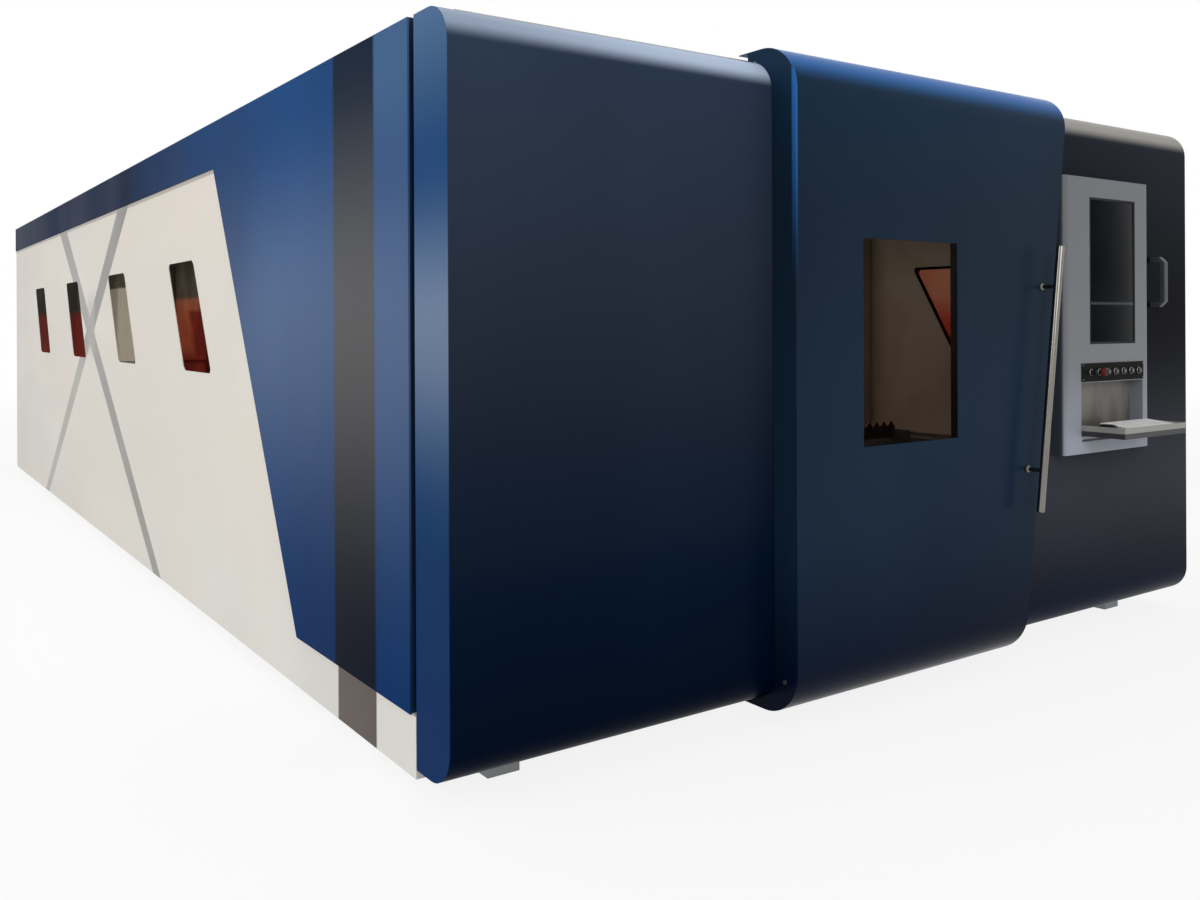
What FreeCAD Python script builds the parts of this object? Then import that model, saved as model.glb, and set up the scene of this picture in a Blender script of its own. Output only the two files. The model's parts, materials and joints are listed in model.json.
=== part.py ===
import FreeCAD, Part
import math
import os

# Enclosed fiber laser cutting machine. Millimetres.
# X runs across the front, Y runs from the front into the machine, Z is up from the floor.
# While the pieces are built, y = 0 is the flat front face. export() then moves every piece
# along Y, so that the origin lies under the middle of the whole machine.

os.makedirs("parts", exist_ok=True)

# ---------------------------------------------------------------- driving dimensions

# enclosure
shell_width = 3860.0
shell_length = 8740.0
shell_height = 2160.0
floor_gap = 80.0            # floor to the underside of the front
skin = 3.0                  # sheet metal of the covers
fit = 0.3                   # clearance of pieces that slide or seat in each other
past = 1.0                  # a cutting shape reaches this far past the face it opens

# front cabinets
front_depth = 207.0
front_round = 115.0         # radius of the top and bottom edge
groove = 30.0               # dark joint between the front and the blue panels
opening_left = -660.0       # left edge of the door opening
sill_height = 220.0
header_height = 240.0

# sliding door
door_left = -730.0
door_right_foot = 498.0     # right edge at the door's lowest point
door_lean = 7.8             # degrees that the right edge leans out from the vertical
door_overlap = 80.0         # how far the door covers the right edge of the opening
door_proud = 110.0
door_rise = 35.0            # above the front's top edge
door_drop = 25.0            # below the front's bottom edge
door_round = 155.0
door_wrap = 160.0           # how far the door reaches back over the top and under the bottom
door_run_gap = 3.0          # between the door's side plates and the front
door_travel = 1180.0
door_window_left = -411.0
door_window_width = 505.0
door_window_foot = 928.0
door_window_height = 714.0
door_bar = 40.0             # bars of the stiffening frame behind the skin
door_bar_end = 200.0        # bars end this far from the door's top and bottom

# door guides
guide_line = 135.0          # distance of both guide rails behind the front face
guide_rail_width = 15.0
guide_rail_height = 12.0
guide_block_length = 60.0
guide_block_width = 36.0
guide_block_from_edge = 130.0
guide_running_gap = 4.0

# door handle
handle_radius = 15.0
handle_standoff = 70.0
handle_inset = 79.0         # from the door's right edge
handle_foot = 625.0
handle_length_up = 1020.0
handle_post_from_end = 155.0
handle_post_radius = 8.0

# side walls
wall_depth = 40.0
wall_drop = 28.0            # walls reach this far below the front's bottom edge
last_section = 690.0        # length of the rearmost wall section
seam_gap = 3.0
lean = 30.0                 # degrees from the vertical: windows and end of the blue panel

# blue panels
blue_proud = 6.0
blue_foot_gap = 151.0       # white skirt left free under the blue panel, from the front's bottom edge
blue_foot_length = 953.0    # along the panel's lower edge
blue_band = 202.0           # height of the band along the top

# side windows
window_count = 4
window_first = 2296.0       # near lower corner of the first window
window_pitch = 1495.0
window_length = 465.0
window_foot = 1138.0
window_height = 518.0
window_corner = 22.0        # cut off each corner along both edges
pane = 6.0
pane_margin = 15.0

# console
console_left = 850.0
console_width = 645.0
console_foot = 800.0
console_height = 1157.0
console_proud = 62.0
console_round = 25.0
field_margin_left = 117.0   # button plate and tray recess, from the console's left side
field_margin_right = 55.0
recess_up = 72.0            # tray recess above the console's foot
recess_height = 224.0
recess_depth = 57.0
plate_up = 4.0              # button plate above the recess
plate_height = 77.0
plate_thickness = 4.0
screen_up = 80.0            # screen above the button plate
screen_recess = 1.0         # screen's face behind the housing's
screen_margin_top = 82.0
screen_margin_left = 182.0
screen_margin_right = 113.0

# controls on the button plate
control_count = 7
control_margin_left = 65.0  # first control, from the plate's left end
control_margin_right = 42.0
control_sides = 12          # flats round each push control and each collar
collar_radius = 15.0
collar_proud = 5.0
collar_wall = 3.5
cut_out_margin = 8.0        # plate beyond the cut-out behind it
button_proud = 8.0
button_length = 26.0
stop_radius = 20.0
stop_cap = 14.0
stop_proud = 26.0
knob_proud = 20.0
knob_width = 8.0
knob_bar_share = 0.8        # finger bar's length, as a share of the knob

# keyboard tray
tray_reach = 250.0          # tip of the open tray, in front of the flat front face
tray_rim = 45.0
tray_floor = 22.0           # tray's floor above the foot of its rim
tray_sheet = 3.0
tray_side_gap = 1.0
tray_axis_up = 12.0         # hinge axis above the tray's underside
tray_tail = 5.0             # tray sheet behind the hinge axis
tray_floor_gap = 3.0        # open tray above the recess floor
hinge_radius = 4.0
hinge_gap = 0.2
hinge_pin_length = 16.0
keyboard_length = 370.0
keyboard_width = 150.0
keyboard_low = 14.0
keyboard_high = 28.0
keyboard_from_tip = 14.0
keyboard_from_right = 12.0

# grab handle on the right cabinet
grab_x = 1630.0
grab_foot = 1416.0
grab_height = 226.0
grab_reach = 70.0
grab_width = 28.0
grab_bar = 22.0             # depth of the bar and of both feet
grab_bend = 26.0            # cut off each outer corner
grab_inner_bend = 10.0
grab_edge = 4.0             # cut off the long edges

# enclosure frame
post = 80.0
post_wall = 5.0
post_arm = 300.0            # bar under each post, reaching in to its foot
post_arm_height = 12.0
post_foot = 110.0
roof_depth = 40.0
roof_panel_count = 3

# fume duct collar on the roof
collar_bore = 400.0
collar_sheet = 4.0
collar_rise = 120.0
collar_flange = 40.0
collar_from_rear = 1100.0

# rear opening and its shutter
rear_opening_width = 2300.0
rear_opening_foot = 600.0
rear_opening_height = 400.0
shutter_overlap = 40.0
shutter_thickness = 5.0
shutter_travel = 420.0
guide_channel = 46.0        # width of each shutter guide
guide_channel_depth = 30.0
guide_lip = 3.0             # guide wall between shutter and rear wall
shutter_in_guide = 30.0
cylinder_radius = 25.0
cylinder_axis_out = 32.0    # lift cylinder's axis behind the rear face
cylinder_gap = 20.0         # cylinder above the open shutter
cylinder_end = 60.0
rod_radius = 8.0
rod_in_cylinder = 80.0
lug = 20.0

# bed
bed_start = 300.0
bed_to_rear = 240.0         # bed's end in front of the rear face
beam_from_wall = 590.0      # centre line of each beam from the wall's inner face
beam_width = 200.0
beam_height = 400.0
beam_top = 750.0
beam_wall = 12.0
leg_count = 5
leg_from_end = 200.0
leg_length = 200.0
leg_wall = 12.0
cross_height = 150.0
cross_length = 160.0
foot_pad_width = 120.0
foot_pad = 20.0
foot_height = 70.0
foot_stud = 18.0
foot_stud_sides = 6
tie = 60.0                  # tubes that tie the enclosure's posts to the bed
tie_wall = 5.0
tie_foot = 520.0

# travel tracks on the beams
rail_offset = 30.0          # guide rail outside the beam's centre line
rail_width = 34.0
rail_height = 30.0
magnet_offset = 55.0        # magnet track inside the beam's centre line
magnet_width = 60.0
magnet_height = 12.0
air_gap = 1.0

# pallet
pallet_start = 900.0
pallet_length = 6200.0
pallet_from_beam = 250.0    # centre line of each pallet side, inside the beam's centre line
pallet_side = 100.0
pallet_foot = 660.0
pallet_wall = 6.0
bracket_height = 50.0
bracket_length = 140.0
pallet_cross = 80.0
pallet_cross_count = 5
comb_thickness = 8.0
comb_height = 60.0
comb_notch = 45.0
slat_count = 28
slat_thickness = 5.0
slat_height = 85.0
slat_overhang = 20.0
slat_tooth_count = 7
slat_tooth_depth = 28.0

# scrap trough
trough_sheet = 4.0
trough_foot_half = 500.0
trough_from_side = 100.0    # trough's upper edge inside the pallet side's centre line
trough_height = 135.0
trough_end_gap = 100.0

# gantry
gantry_y = 4250.0
saddle_base = 620.0
saddle_crown = 260.0
saddle_rise = 180.0
saddle_light_inset = 55.0
saddle_light_from_toe = 132.0
block_width = 100.0
block_length = 140.0
block_height = 48.0         # top of the block above the beam
block_clear = 6.0           # underside of the block above the beam
coil_length = 380.0
girder_depth = 220.0
girder_height = 260.0
girder_wall = 10.0

# carriage and head
x_rail_width = 24.0
x_rail_height = 20.0
x_rail_inset = 50.0
x_magnet_height = 60.0
x_magnet_depth = 10.0
x_block_length = 90.0
x_block_width = 60.0
x_block_depth = 38.0
x_block_clear = 4.0
carriage_width = 320.0
carriage_height = 300.0
carriage_plate = 20.0
lift_half_width = 80.0
lift_depth = 60.0
lift_height = 480.0
lift_foot = 960.0
lift_motor = 100.0
lift_motor_height = 140.0
lift_rib_x = 50.0
lift_rib_width = 12.0
lift_rib_depth = 10.0
slide_half_width = 75.0
slide_depth = 20.0
slide_height = 260.0
head_travel = 120.0
head_axis_out = 60.0
nozzle_radius = 7.0
nozzle_height = 60.0
nozzle_top_radius = 24.0
head_sides = 8              # flats round the head's housings
head_radius = 45.0
head_body = 240.0
collimator_radius = 36.0
collimator_height = 120.0
fibre_socket_radius = 18.0
fibre_socket_height = 50.0
head_mount_half = 35.0
slats_to_nozzle = 15.0      # nozzle over the slats when the head is right down

# ---------------------------------------------------------------- worked out

door_slope = math.tan(math.radians(door_lean))
half_width = shell_width / 2
shell_foot = floor_gap
shell_top = shell_foot + shell_height
wall_start = front_depth + groove
wall_foot = shell_foot - wall_drop
wall_inner = half_width - wall_depth
wall_seam = shell_length - last_section
slope = math.tan(math.radians(lean))
rear_reach = cylinder_axis_out + cylinder_radius
shift_y = (tray_reach - rear_reach - shell_length) / 2


def vec(x, y, z):
    return FreeCAD.Vector(x, y, z)


def box(x0, x1, y0, y1, z0, z1):
    return Part.makeBox(x1 - x0, y1 - y0, z1 - z0, vec(x0, y0, z0))


def tube_x(x0, x1, y0, y1, z0, z1, wall):
    outer = box(x0, x1, y0, y1, z0, z1)
    return outer.cut(box(x0 - past, x1 + past, y0 + wall, y1 - wall, z0 + wall, z1 - wall))


def tube_y(x0, x1, y0, y1, z0, z1, wall):
    outer = box(x0, x1, y0, y1, z0, z1)
    return outer.cut(box(x0 + wall, x1 - wall, y0 - past, y1 + past, z0 + wall, z1 - wall))


def tube_z(x0, x1, y0, y1, z0, z1, wall):
    outer = box(x0, x1, y0, y1, z0, z1)
    return outer.cut(box(x0 + wall, x1 - wall, y0 + wall, y1 - wall, z0 - past, z1 + past))


def prism(corners, direction):
    """A straight-sided solid: the closed outline through the corners, pushed along direction."""
    wire = Part.makePolygon(corners + [corners[0]])
    return Part.Face(wire).extrude(direction)


def prism_x(corners_yz, x0, x1):
    return prism([vec(x0, y, z) for y, z in corners_yz], vec(x1 - x0, 0, 0))


def prism_y(corners_xz, y0, y1):
    return prism([vec(x, y0, z) for x, z in corners_xz], vec(0, y1 - y0, 0))


def rod_y(x, z, radius, y0, y1):
    return Part.makeCylinder(radius, y1 - y0, vec(x, y0, z), vec(0, 1, 0))


def flat_sided(centre, radius, sides, along):
    """A bar with flat sides along Y or Z, its corners on a circle round centre."""
    corners = []
    for i in range(sides):
        angle = 2 * math.pi * (i + 0.5) / sides
        across = radius * math.cos(angle)
        up = radius * math.sin(angle)
        corners.append(centre + (vec(across, up, 0) if along.y == 0 else vec(across, 0, up)))
    return prism(corners, along)


def mirrored(solid):
    return solid.mirror(vec(0, 0, 0), vec(1, 0, 0))


def both_sides(solids):
    return solids + [mirrored(solid) for solid in solids]


def spread(first, last, count):
    """Evenly spaced places from first to last."""
    return [first + (last - first) * i / (count - 1) for i in range(count)]


def export(name, solids):
    """Writes one node: a single solid, or a group of separate solids."""
    if not isinstance(solids, list):
        solids = [solids]
    shape = solids[0] if len(solids) == 1 else Part.makeCompound(solids)
    shape.translate(vec(0, shift_y, 0))
    shape.exportStep("parts/" + name + ".step")


# ---------------------------------------------------------------- front and door

def c_profile(y_front, y_back, z_low, z_top, radius, x):
    """Side view of the front and of the door: a tall outline, rounded at both front corners."""
    corner = radius * (1 - math.sqrt(0.5))
    low_start = vec(x, y_front + radius, z_low)
    low_mid = vec(x, y_front + corner, z_low + corner)
    low_end = vec(x, y_front, z_low + radius)
    top_start = vec(x, y_front, z_top - radius)
    top_mid = vec(x, y_front + corner, z_top - corner)
    top_end = vec(x, y_front + radius, z_top)
    back_top = vec(x, y_back, z_top)
    back_low = vec(x, y_back, z_low)
    edges = [
        Part.LineSegment(back_low, low_start).toShape(),
        Part.Arc(low_start, low_mid, low_end).toShape(),
        Part.LineSegment(low_end, top_start).toShape(),
        Part.Arc(top_start, top_mid, top_end).toShape(),
        Part.LineSegment(top_end, back_top).toShape(),
        Part.LineSegment(back_top, back_low).toShape(),
    ]
    return Part.Face(Part.Wire(edges))


def front_bar(inset):
    """The front's rounded section over the whole width, made smaller all round by inset."""
    face = c_profile(inset, front_depth - inset, shell_foot + inset, shell_top - inset,
                     front_round - inset, inset - half_width)
    return face.extrude(vec(shell_width - 2 * inset, 0, 0))


def door_edge(z):
    """The door's slanted right edge."""
    return door_right_foot + door_slope * (z - (shell_foot - door_drop))


def opening_edge(z):
    """The slanted right edge of the door opening."""
    return door_edge(z) - door_overlap


lean_thickness = skin * math.hypot(1, door_slope)


def cut_region(left, right, z_low, z_top, inset, y0, y1):
    """Slab between two edges that are functions of height, made smaller by inset sheets."""
    low = z_low + inset * skin
    top = z_top - inset * skin
    shift = inset * lean_thickness
    corners = [(left(low) + shift, low), (right(low) - shift, low),
               (right(top) - shift, top), (left(top) + shift, top)]
    return prism_y(corners, y0, y1)


def closed_section(left, right, z_low, z_top):
    """A closed sheet metal box cut from the front's rounded section."""
    outer = front_bar(0).common(cut_region(left, right, z_low, z_top, 0, -past, front_depth + past))
    inner = front_bar(skin).common(cut_region(left, right, z_low, z_top, 1, -past, front_depth + past))
    return outer.cut(inner)


def left_side_edge(z):
    return -half_width


def right_side_edge(z):
    return half_width


def opening_left_edge(z):
    return opening_left


def make_front():
    sill_top = shell_foot + sill_height
    header_foot = shell_top - header_height
    export("left_cabinet", closed_section(left_side_edge, opening_left_edge, shell_foot, shell_top))
    export("right_cabinet", closed_section(opening_edge, right_side_edge, shell_foot, shell_top))
    export("door_sill", closed_section(opening_left_edge, opening_edge, shell_foot, sill_top))
    export("door_header", closed_section(opening_left_edge, opening_edge, header_foot, shell_top))


door_foot = shell_foot - door_drop
door_top = shell_top + door_rise
door_skin_back = -door_proud + skin


def door_bar_solid(inset, back):
    face = c_profile(-door_proud + inset, back, door_foot + inset, door_top - inset,
                     door_round - inset, -half_width)
    return face.extrude(vec(shell_width, 0, 0))


def door_left_edge(z):
    return door_left


def door_window_outline(margin):
    x0 = door_window_left - margin
    x1 = door_window_left + door_window_width + margin
    z0 = door_window_foot - margin
    z1 = door_window_foot + door_window_height + margin
    return x0, x1, z0, z1


def make_door_panel():
    reach = door_wrap + past
    outer = door_bar_solid(0, door_wrap)
    outer = outer.common(cut_region(door_left_edge, door_edge, door_foot, door_top, 0,
                                    -door_proud - past, reach))
    inner = door_bar_solid(skin, reach)
    inner = inner.common(cut_region(door_left_edge, door_edge, door_foot, door_top, 1,
                                    -door_proud - past, reach))
    front_clear = c_profile(-door_run_gap, reach, shell_foot - door_run_gap,
                            shell_top + door_run_gap, front_round + door_run_gap, -half_width)
    front_clear = front_clear.extrude(vec(shell_width, 0, 0))
    guide_clear = box(-half_width, half_width, front_round, reach, door_foot + skin,
                      door_top - skin)
    x0, x1, z0, z1 = door_window_outline(0)
    window = box(x0, x1, -door_proud - past, door_skin_back + past, z0, z1)
    panel = outer.cut(inner).cut(front_clear).cut(guide_clear).cut(window)
    export("door_panel", panel)


def make_door_frame():
    x0, x1, z0, z1 = door_window_outline(pane_margin + fit)
    y0 = door_skin_back
    y1 = y0 + door_bar
    low = door_foot + door_bar_end
    top = door_top - door_bar_end
    frame = box(x0 - door_bar, x0, y0, y1, low, top)
    frame = frame.fuse(box(x1, x1 + door_bar, y0, y1, low, top))
    for z in (low, z0 - door_bar, z1, top - door_bar):
        frame = frame.fuse(box(x0, x1, y0, y1, z, z + door_bar))
    export("door_frame", frame.removeSplitter())


def make_door_window():
    x0, x1, z0, z1 = door_window_outline(pane_margin)
    y0 = door_skin_back + fit
    export("door_window", box(x0, x1, y0, y0 + pane, z0, z1))


def make_door_handle():
    y_axis = -door_proud - handle_standoff

    def axis_x(z):
        return door_edge(z) - handle_inset

    top = handle_foot + handle_length_up
    start = vec(axis_x(handle_foot), y_axis, handle_foot)
    along = vec(axis_x(top), y_axis, top) - start
    handle = Part.makeCylinder(handle_radius, along.Length, start, along)
    for z in (handle_foot + handle_post_from_end, top - handle_post_from_end):
        x = axis_x(z)
        handle = handle.fuse(rod_y(x, z, handle_post_radius, y_axis, -door_proud))
    export("door_handle", handle)


def guide_block(x, z_rail, z_seat):
    """A block that straddles the guide rail and is fixed to the door sheet at z_seat."""
    up = 1 if z_seat > z_rail else -1
    y0 = guide_line - guide_block_width / 2
    y1 = guide_line + guide_block_width / 2
    near = z_rail + up * guide_running_gap
    x0 = x - guide_block_length / 2
    x1 = x + guide_block_length / 2
    block = box(x0, x1, y0, y1, min(near, z_seat), max(near, z_seat))
    slot_end = z_rail + up * (guide_rail_height + fit)
    slot_half = guide_rail_width / 2 + fit
    slot = box(x0 - past, x1 + past, guide_line - slot_half, guide_line + slot_half,
               min(z_rail, slot_end), max(z_rail, slot_end))
    return block.cut(slot)


def make_door_guides():
    first = door_left + guide_block_from_edge
    last = door_right_foot - guide_block_from_edge
    blocks = []
    for x in (first, last):
        blocks.append(guide_block(x, shell_top, door_top - skin))
        blocks.append(guide_block(x, shell_foot, door_foot + skin))
    export("door_guide_blocks", blocks)
    x0 = first - door_travel - guide_block_length
    x1 = last + guide_block_length
    y0 = guide_line - guide_rail_width / 2
    y1 = guide_line + guide_rail_width / 2
    export("door_top_rail", box(x0, x1, y0, y1, shell_top, shell_top + guide_rail_height))
    export("door_bottom_rail", box(x0, x1, y0, y1, shell_foot - guide_rail_height, shell_foot))


# ---------------------------------------------------------------- side walls

def window_outline(y_low, margin):
    """A leaning parallelogram with its corners cut off, grown by margin on all four sides."""
    side = margin * math.hypot(1, slope)
    low = window_foot - margin
    top = window_foot + window_height + margin

    def near(z):
        return y_low + slope * (z - window_foot)

    corners = [(near(low) - side, low), (near(low) + window_length + side, low),
               (near(top) + window_length + side, top), (near(top) - side, top)]
    outline = []
    for i, corner in enumerate(corners):
        for neighbour in (corners[i - 1], corners[(i + 1) % 4]):
            share = window_corner / math.dist(corner, neighbour)
            outline.append((corner[0] + share * (neighbour[0] - corner[0]),
                            corner[1] + share * (neighbour[1] - corner[1])))
    return outline


def window_places(first_index):
    return [window_first + i * window_pitch for i in range(first_index, window_count)]


def wall_pan(y0, y1, z0, z1):
    """One left wall section: outer sheet with edges folded inwards."""
    pan = box(-half_width, -wall_inner, y0, y1, z0, z1)
    pocket = box(-half_width + skin, -wall_inner + past, y0 + skin, y1 - skin, z0 + skin, z1 - skin)
    return pan.cut(pocket)


def left_wall(places):
    main = wall_pan(wall_start, wall_seam - seam_gap, wall_foot, shell_top)
    toe = wall_pan(front_depth + seam_gap, wall_start, wall_foot, shell_foot + blue_foot_gap)
    main = main.fuse(toe)
    for y_low in places:
        hole = prism_x(window_outline(y_low, 0), -half_width - past, -half_width + skin + past)
        main = main.cut(hole)
    rear = wall_pan(wall_seam, shell_length, wall_foot, shell_top)
    return [main, rear]


def left_panes(places):
    x0 = -half_width + skin + fit
    return [prism_x(window_outline(y_low, pane_margin), x0, x0 + pane) for y_low in places]


def blue_outline():
    foot = shell_foot + blue_foot_gap
    band_foot = shell_top - blue_band
    turn = wall_start + blue_foot_length
    return [(wall_start, foot), (turn, foot), (turn + slope * (band_foot - foot), band_foot),
            (shell_length, band_foot), (shell_length, shell_top), (wall_start, shell_top)]


def left_blue(places):
    """The proud panel: an outer sheet with its edges folded back to the wall."""
    x0 = -half_width - blue_proud
    wire = Part.makePolygon([vec(x0, y, z) for y, z in blue_outline() + [blue_outline()[0]]])
    body = Part.Face(wire).extrude(vec(blue_proud, 0, 0))
    pocket_wire = wire.makeOffset2D(-skin, 2)
    pocket = Part.Face(pocket_wire).extrude(vec(blue_proud, 0, 0))
    pocket.translate(vec(skin, 0, 0))
    panel = body.cut(pocket)
    for y_low in places:
        collar = prism_x(window_outline(y_low, skin), x0, -half_width)
        panel = panel.fuse(collar)
        panel = panel.cut(prism_x(window_outline(y_low, 0), x0 - past, -half_width + past))
    return panel


def make_walls():
    left_places = window_places(0)
    right_places = window_places(-1)
    export("left_wall_panels", left_wall(left_places))
    export("right_wall_panels", [mirrored(solid) for solid in left_wall(right_places)])
    export("left_windows", left_panes(left_places))
    export("right_windows", [mirrored(solid) for solid in left_panes(right_places)])
    export("left_blue_panel", left_blue([]))
    export("right_blue_panel", mirrored(left_blue(right_places[:1])))


# ---------------------------------------------------------------- enclosure frame and roof

frame_top = shell_top - roof_depth
post_top = frame_top - post
rear_wall_front = shell_length - wall_depth


def post_places():
    """One post behind the front, one midway between windows, one at the rear wall."""
    gap_middle = (window_pitch - window_length - slope * window_height) / 2
    first = window_first - gap_middle - post / 2
    middle = [first + i * window_pitch for i in range(window_count)]
    return [front_depth] + middle + [rear_wall_front - post]


def make_posts():
    """Each post stands on a bar that reaches in to a foot, out of sight behind the wall."""
    arm_top = wall_foot + post_arm_height
    arm_end = -wall_inner + post_arm
    posts = []
    for y in post_places():
        posts.append(tube_z(-wall_inner, -wall_inner + post, y, y + post, arm_top, post_top,
                            post_wall))
        posts.append(box(-wall_inner, arm_end, y, y + post, wall_foot, arm_top))
        posts.append(box(arm_end - post_foot, arm_end, y, y + post, 0, wall_foot))
    export("enclosure_posts", both_sides(posts))


def make_roof():
    side = tube_y(-wall_inner, -wall_inner + post, front_depth, rear_wall_front, post_top,
                  frame_top, post_wall)
    tubes = both_sides([side])
    reach = wall_inner - post
    for y in post_places():
        tubes.append(tube_x(-reach, reach, y, y + post, post_top, frame_top, post_wall))
    export("roof_frame_tubes", tubes)
    start = front_depth + seam_gap
    pitch = (shell_length - start + seam_gap) / roof_panel_count
    edge = wall_inner - fit
    collar_y = shell_length - collar_from_rear
    panels = []
    for i in range(roof_panel_count):
        y0 = start + i * pitch
        y1 = y0 + pitch - seam_gap
        panel = box(-edge, edge, y0, y1, frame_top, shell_top)
        pocket = box(-edge + skin, edge - skin, y0 + skin, y1 - skin, frame_top - past,
                     shell_top - skin)
        panel = panel.cut(pocket)
        if y0 < collar_y < y1:
            hole = Part.makeCylinder(collar_bore / 2, roof_depth + 2 * past,
                                     vec(0, collar_y, frame_top - past))
            panel = panel.cut(hole)
        panels.append(panel)
    export("roof_panels", panels)
    spigot_radius = collar_bore / 2 + collar_sheet
    flange_top = shell_top + collar_sheet
    spigot = Part.makeCylinder(spigot_radius, collar_rise - collar_sheet,
                               vec(0, collar_y, flange_top))
    flange_half = spigot_radius + collar_flange
    flange = box(-flange_half, flange_half, collar_y - flange_half, collar_y + flange_half,
                 shell_top, flange_top)
    bore = Part.makeCylinder(collar_bore / 2, collar_rise + 2 * past, vec(0, collar_y, shell_top - past))
    export("fume_collar", spigot.fuse(flange).cut(bore))


# ---------------------------------------------------------------- rear wall and shutter

shutter_half = rear_opening_width / 2 + shutter_overlap + shutter_in_guide
shutter_foot = rear_opening_foot - shutter_overlap
shutter_top = rear_opening_foot + rear_opening_height + shutter_overlap
shutter_face = shell_length + guide_lip + fit
shutter_back = shutter_face + shutter_thickness


def make_rear_wall():
    edge = wall_inner - fit
    wall = box(-edge, edge, rear_wall_front, shell_length, wall_foot, frame_top)
    pocket = box(-edge + skin, edge - skin, rear_wall_front - past, shell_length - skin,
                 wall_foot + skin, frame_top - skin)
    half = rear_opening_width / 2
    low = rear_opening_foot
    high = low + rear_opening_height
    collar = box(-half - skin, half + skin, rear_wall_front, shell_length, low - skin,
                 high + skin)
    opening = box(-half, half, rear_wall_front - past, shell_length + past, low, high)
    export("rear_wall", wall.cut(pocket).fuse(collar).cut(opening))


def make_shutter():
    plate = box(-shutter_half, shutter_half, shutter_face, shutter_back, shutter_foot,
                shutter_top)
    axis_y = shell_length + cylinder_axis_out
    lug_body = box(-lug, lug, shutter_face, axis_y + lug, shutter_top - 2 * lug, shutter_top)
    rod_length = shutter_travel + cylinder_gap + rod_in_cylinder
    rod = Part.makeCylinder(rod_radius, rod_length, vec(0, axis_y, shutter_top))
    export("rear_shutter", plate.fuse(lug_body).fuse(rod))

    channel_foot = shutter_foot
    channel_top = shutter_top + shutter_travel
    x1 = shutter_half - shutter_in_guide + guide_channel
    x0 = shutter_half - shutter_in_guide
    channel = box(x0, x1, shell_length, shell_length + guide_channel_depth, channel_foot,
                  channel_top)
    slot = box(x0 - past, shutter_half + fit, shutter_face - fit, shutter_back + fit,
               channel_foot - past, channel_top + past)
    export("shutter_guides", both_sides([channel.cut(slot)]))

    barrel_foot = shutter_top + shutter_travel + cylinder_gap
    barrel_length = rod_in_cylinder + shutter_travel + cylinder_end
    barrel = Part.makeCylinder(cylinder_radius, barrel_length, vec(0, axis_y, barrel_foot))
    foot_half = cylinder_radius * 0.8
    for z in (barrel_foot, barrel_foot + barrel_length - cylinder_end):
        barrel = barrel.fuse(box(-foot_half, foot_half, shell_length, axis_y, z,
                                 z + cylinder_end))
    bore = Part.makeCylinder(rod_radius + fit, barrel_length - cylinder_end / 2,
                             vec(0, axis_y, barrel_foot))
    export("shutter_cylinder", barrel.cut(bore))


# ---------------------------------------------------------------- console

console_face = -console_proud
console_right = console_left + console_width
console_top = console_foot + console_height
field_left = console_left + field_margin_left
field_right = console_right - field_margin_right
recess_foot = console_foot + recess_up
recess_top = recess_foot + recess_height
plate_foot = recess_top + plate_up
plate_top = plate_foot + plate_height
screen_left = console_left + screen_margin_left
screen_right = console_right - screen_margin_right
screen_foot = plate_top + screen_up
screen_top = console_top - screen_margin_top
control_z = (plate_foot + plate_top) / 2


def round_uprights(block, y, radius):
    """Rounds a block's two upright edges at that depth."""
    upright = [edge for edge in block.Edges
               if abs(edge.CenterOfMass.y - y) < fit
               and abs(edge.Length - block.BoundBox.ZLength) < fit]
    return block.makeFillet(radius, upright)


def make_console_housing():
    x0 = console_left
    x1 = console_right
    z0 = console_foot
    z1 = console_top
    body = round_uprights(box(x0, x1, console_face, 0, z0, z1), console_face, console_round)
    hollow = box(x0 + skin, x1 - skin, console_face + skin, past, z0 + skin, z1 - skin)
    hollow = round_uprights(hollow, console_face + skin, console_round - skin)
    back = console_face + recess_depth
    liner = box(field_left - skin, field_right + skin, console_face, back + skin,
                recess_foot - skin, recess_top + skin)
    recess = box(field_left, field_right, console_face - past, back, recess_foot, recess_top)
    housing = body.cut(hollow.cut(liner)).cut(recess)
    sheet_start = console_face - past
    sheet_end = console_face + skin + past
    housing = housing.cut(box(screen_left - fit, screen_right + fit, sheet_start, sheet_end,
                              screen_foot - fit, screen_top + fit))
    housing = housing.cut(box(field_left + cut_out_margin, field_right - cut_out_margin,
                              sheet_start, sheet_end, plate_foot + cut_out_margin,
                              plate_top - cut_out_margin))
    axis_y, axis_z = tray_axis()
    for x in (field_left, field_right):
        pin_hole = Part.makeCylinder(hinge_radius, 2 * (skin + past),
                                     vec(x - skin - past, axis_y, axis_z), vec(1, 0, 0))
        housing = housing.cut(pin_hole)
    export("console_housing", housing)


def make_screen():
    screen = box(screen_left, screen_right, console_face + screen_recess, -fit, screen_foot,
                 screen_top)
    export("console_screen", screen)


plate_face = console_face - plate_thickness
collar_face = plate_face - collar_proud


def control_bar(x, radius, y0, y1):
    """A bar along Y on a control's own axis."""
    return flat_sided(vec(x, y0, control_z), radius, control_sides, vec(0, y1 - y0, 0))


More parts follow.
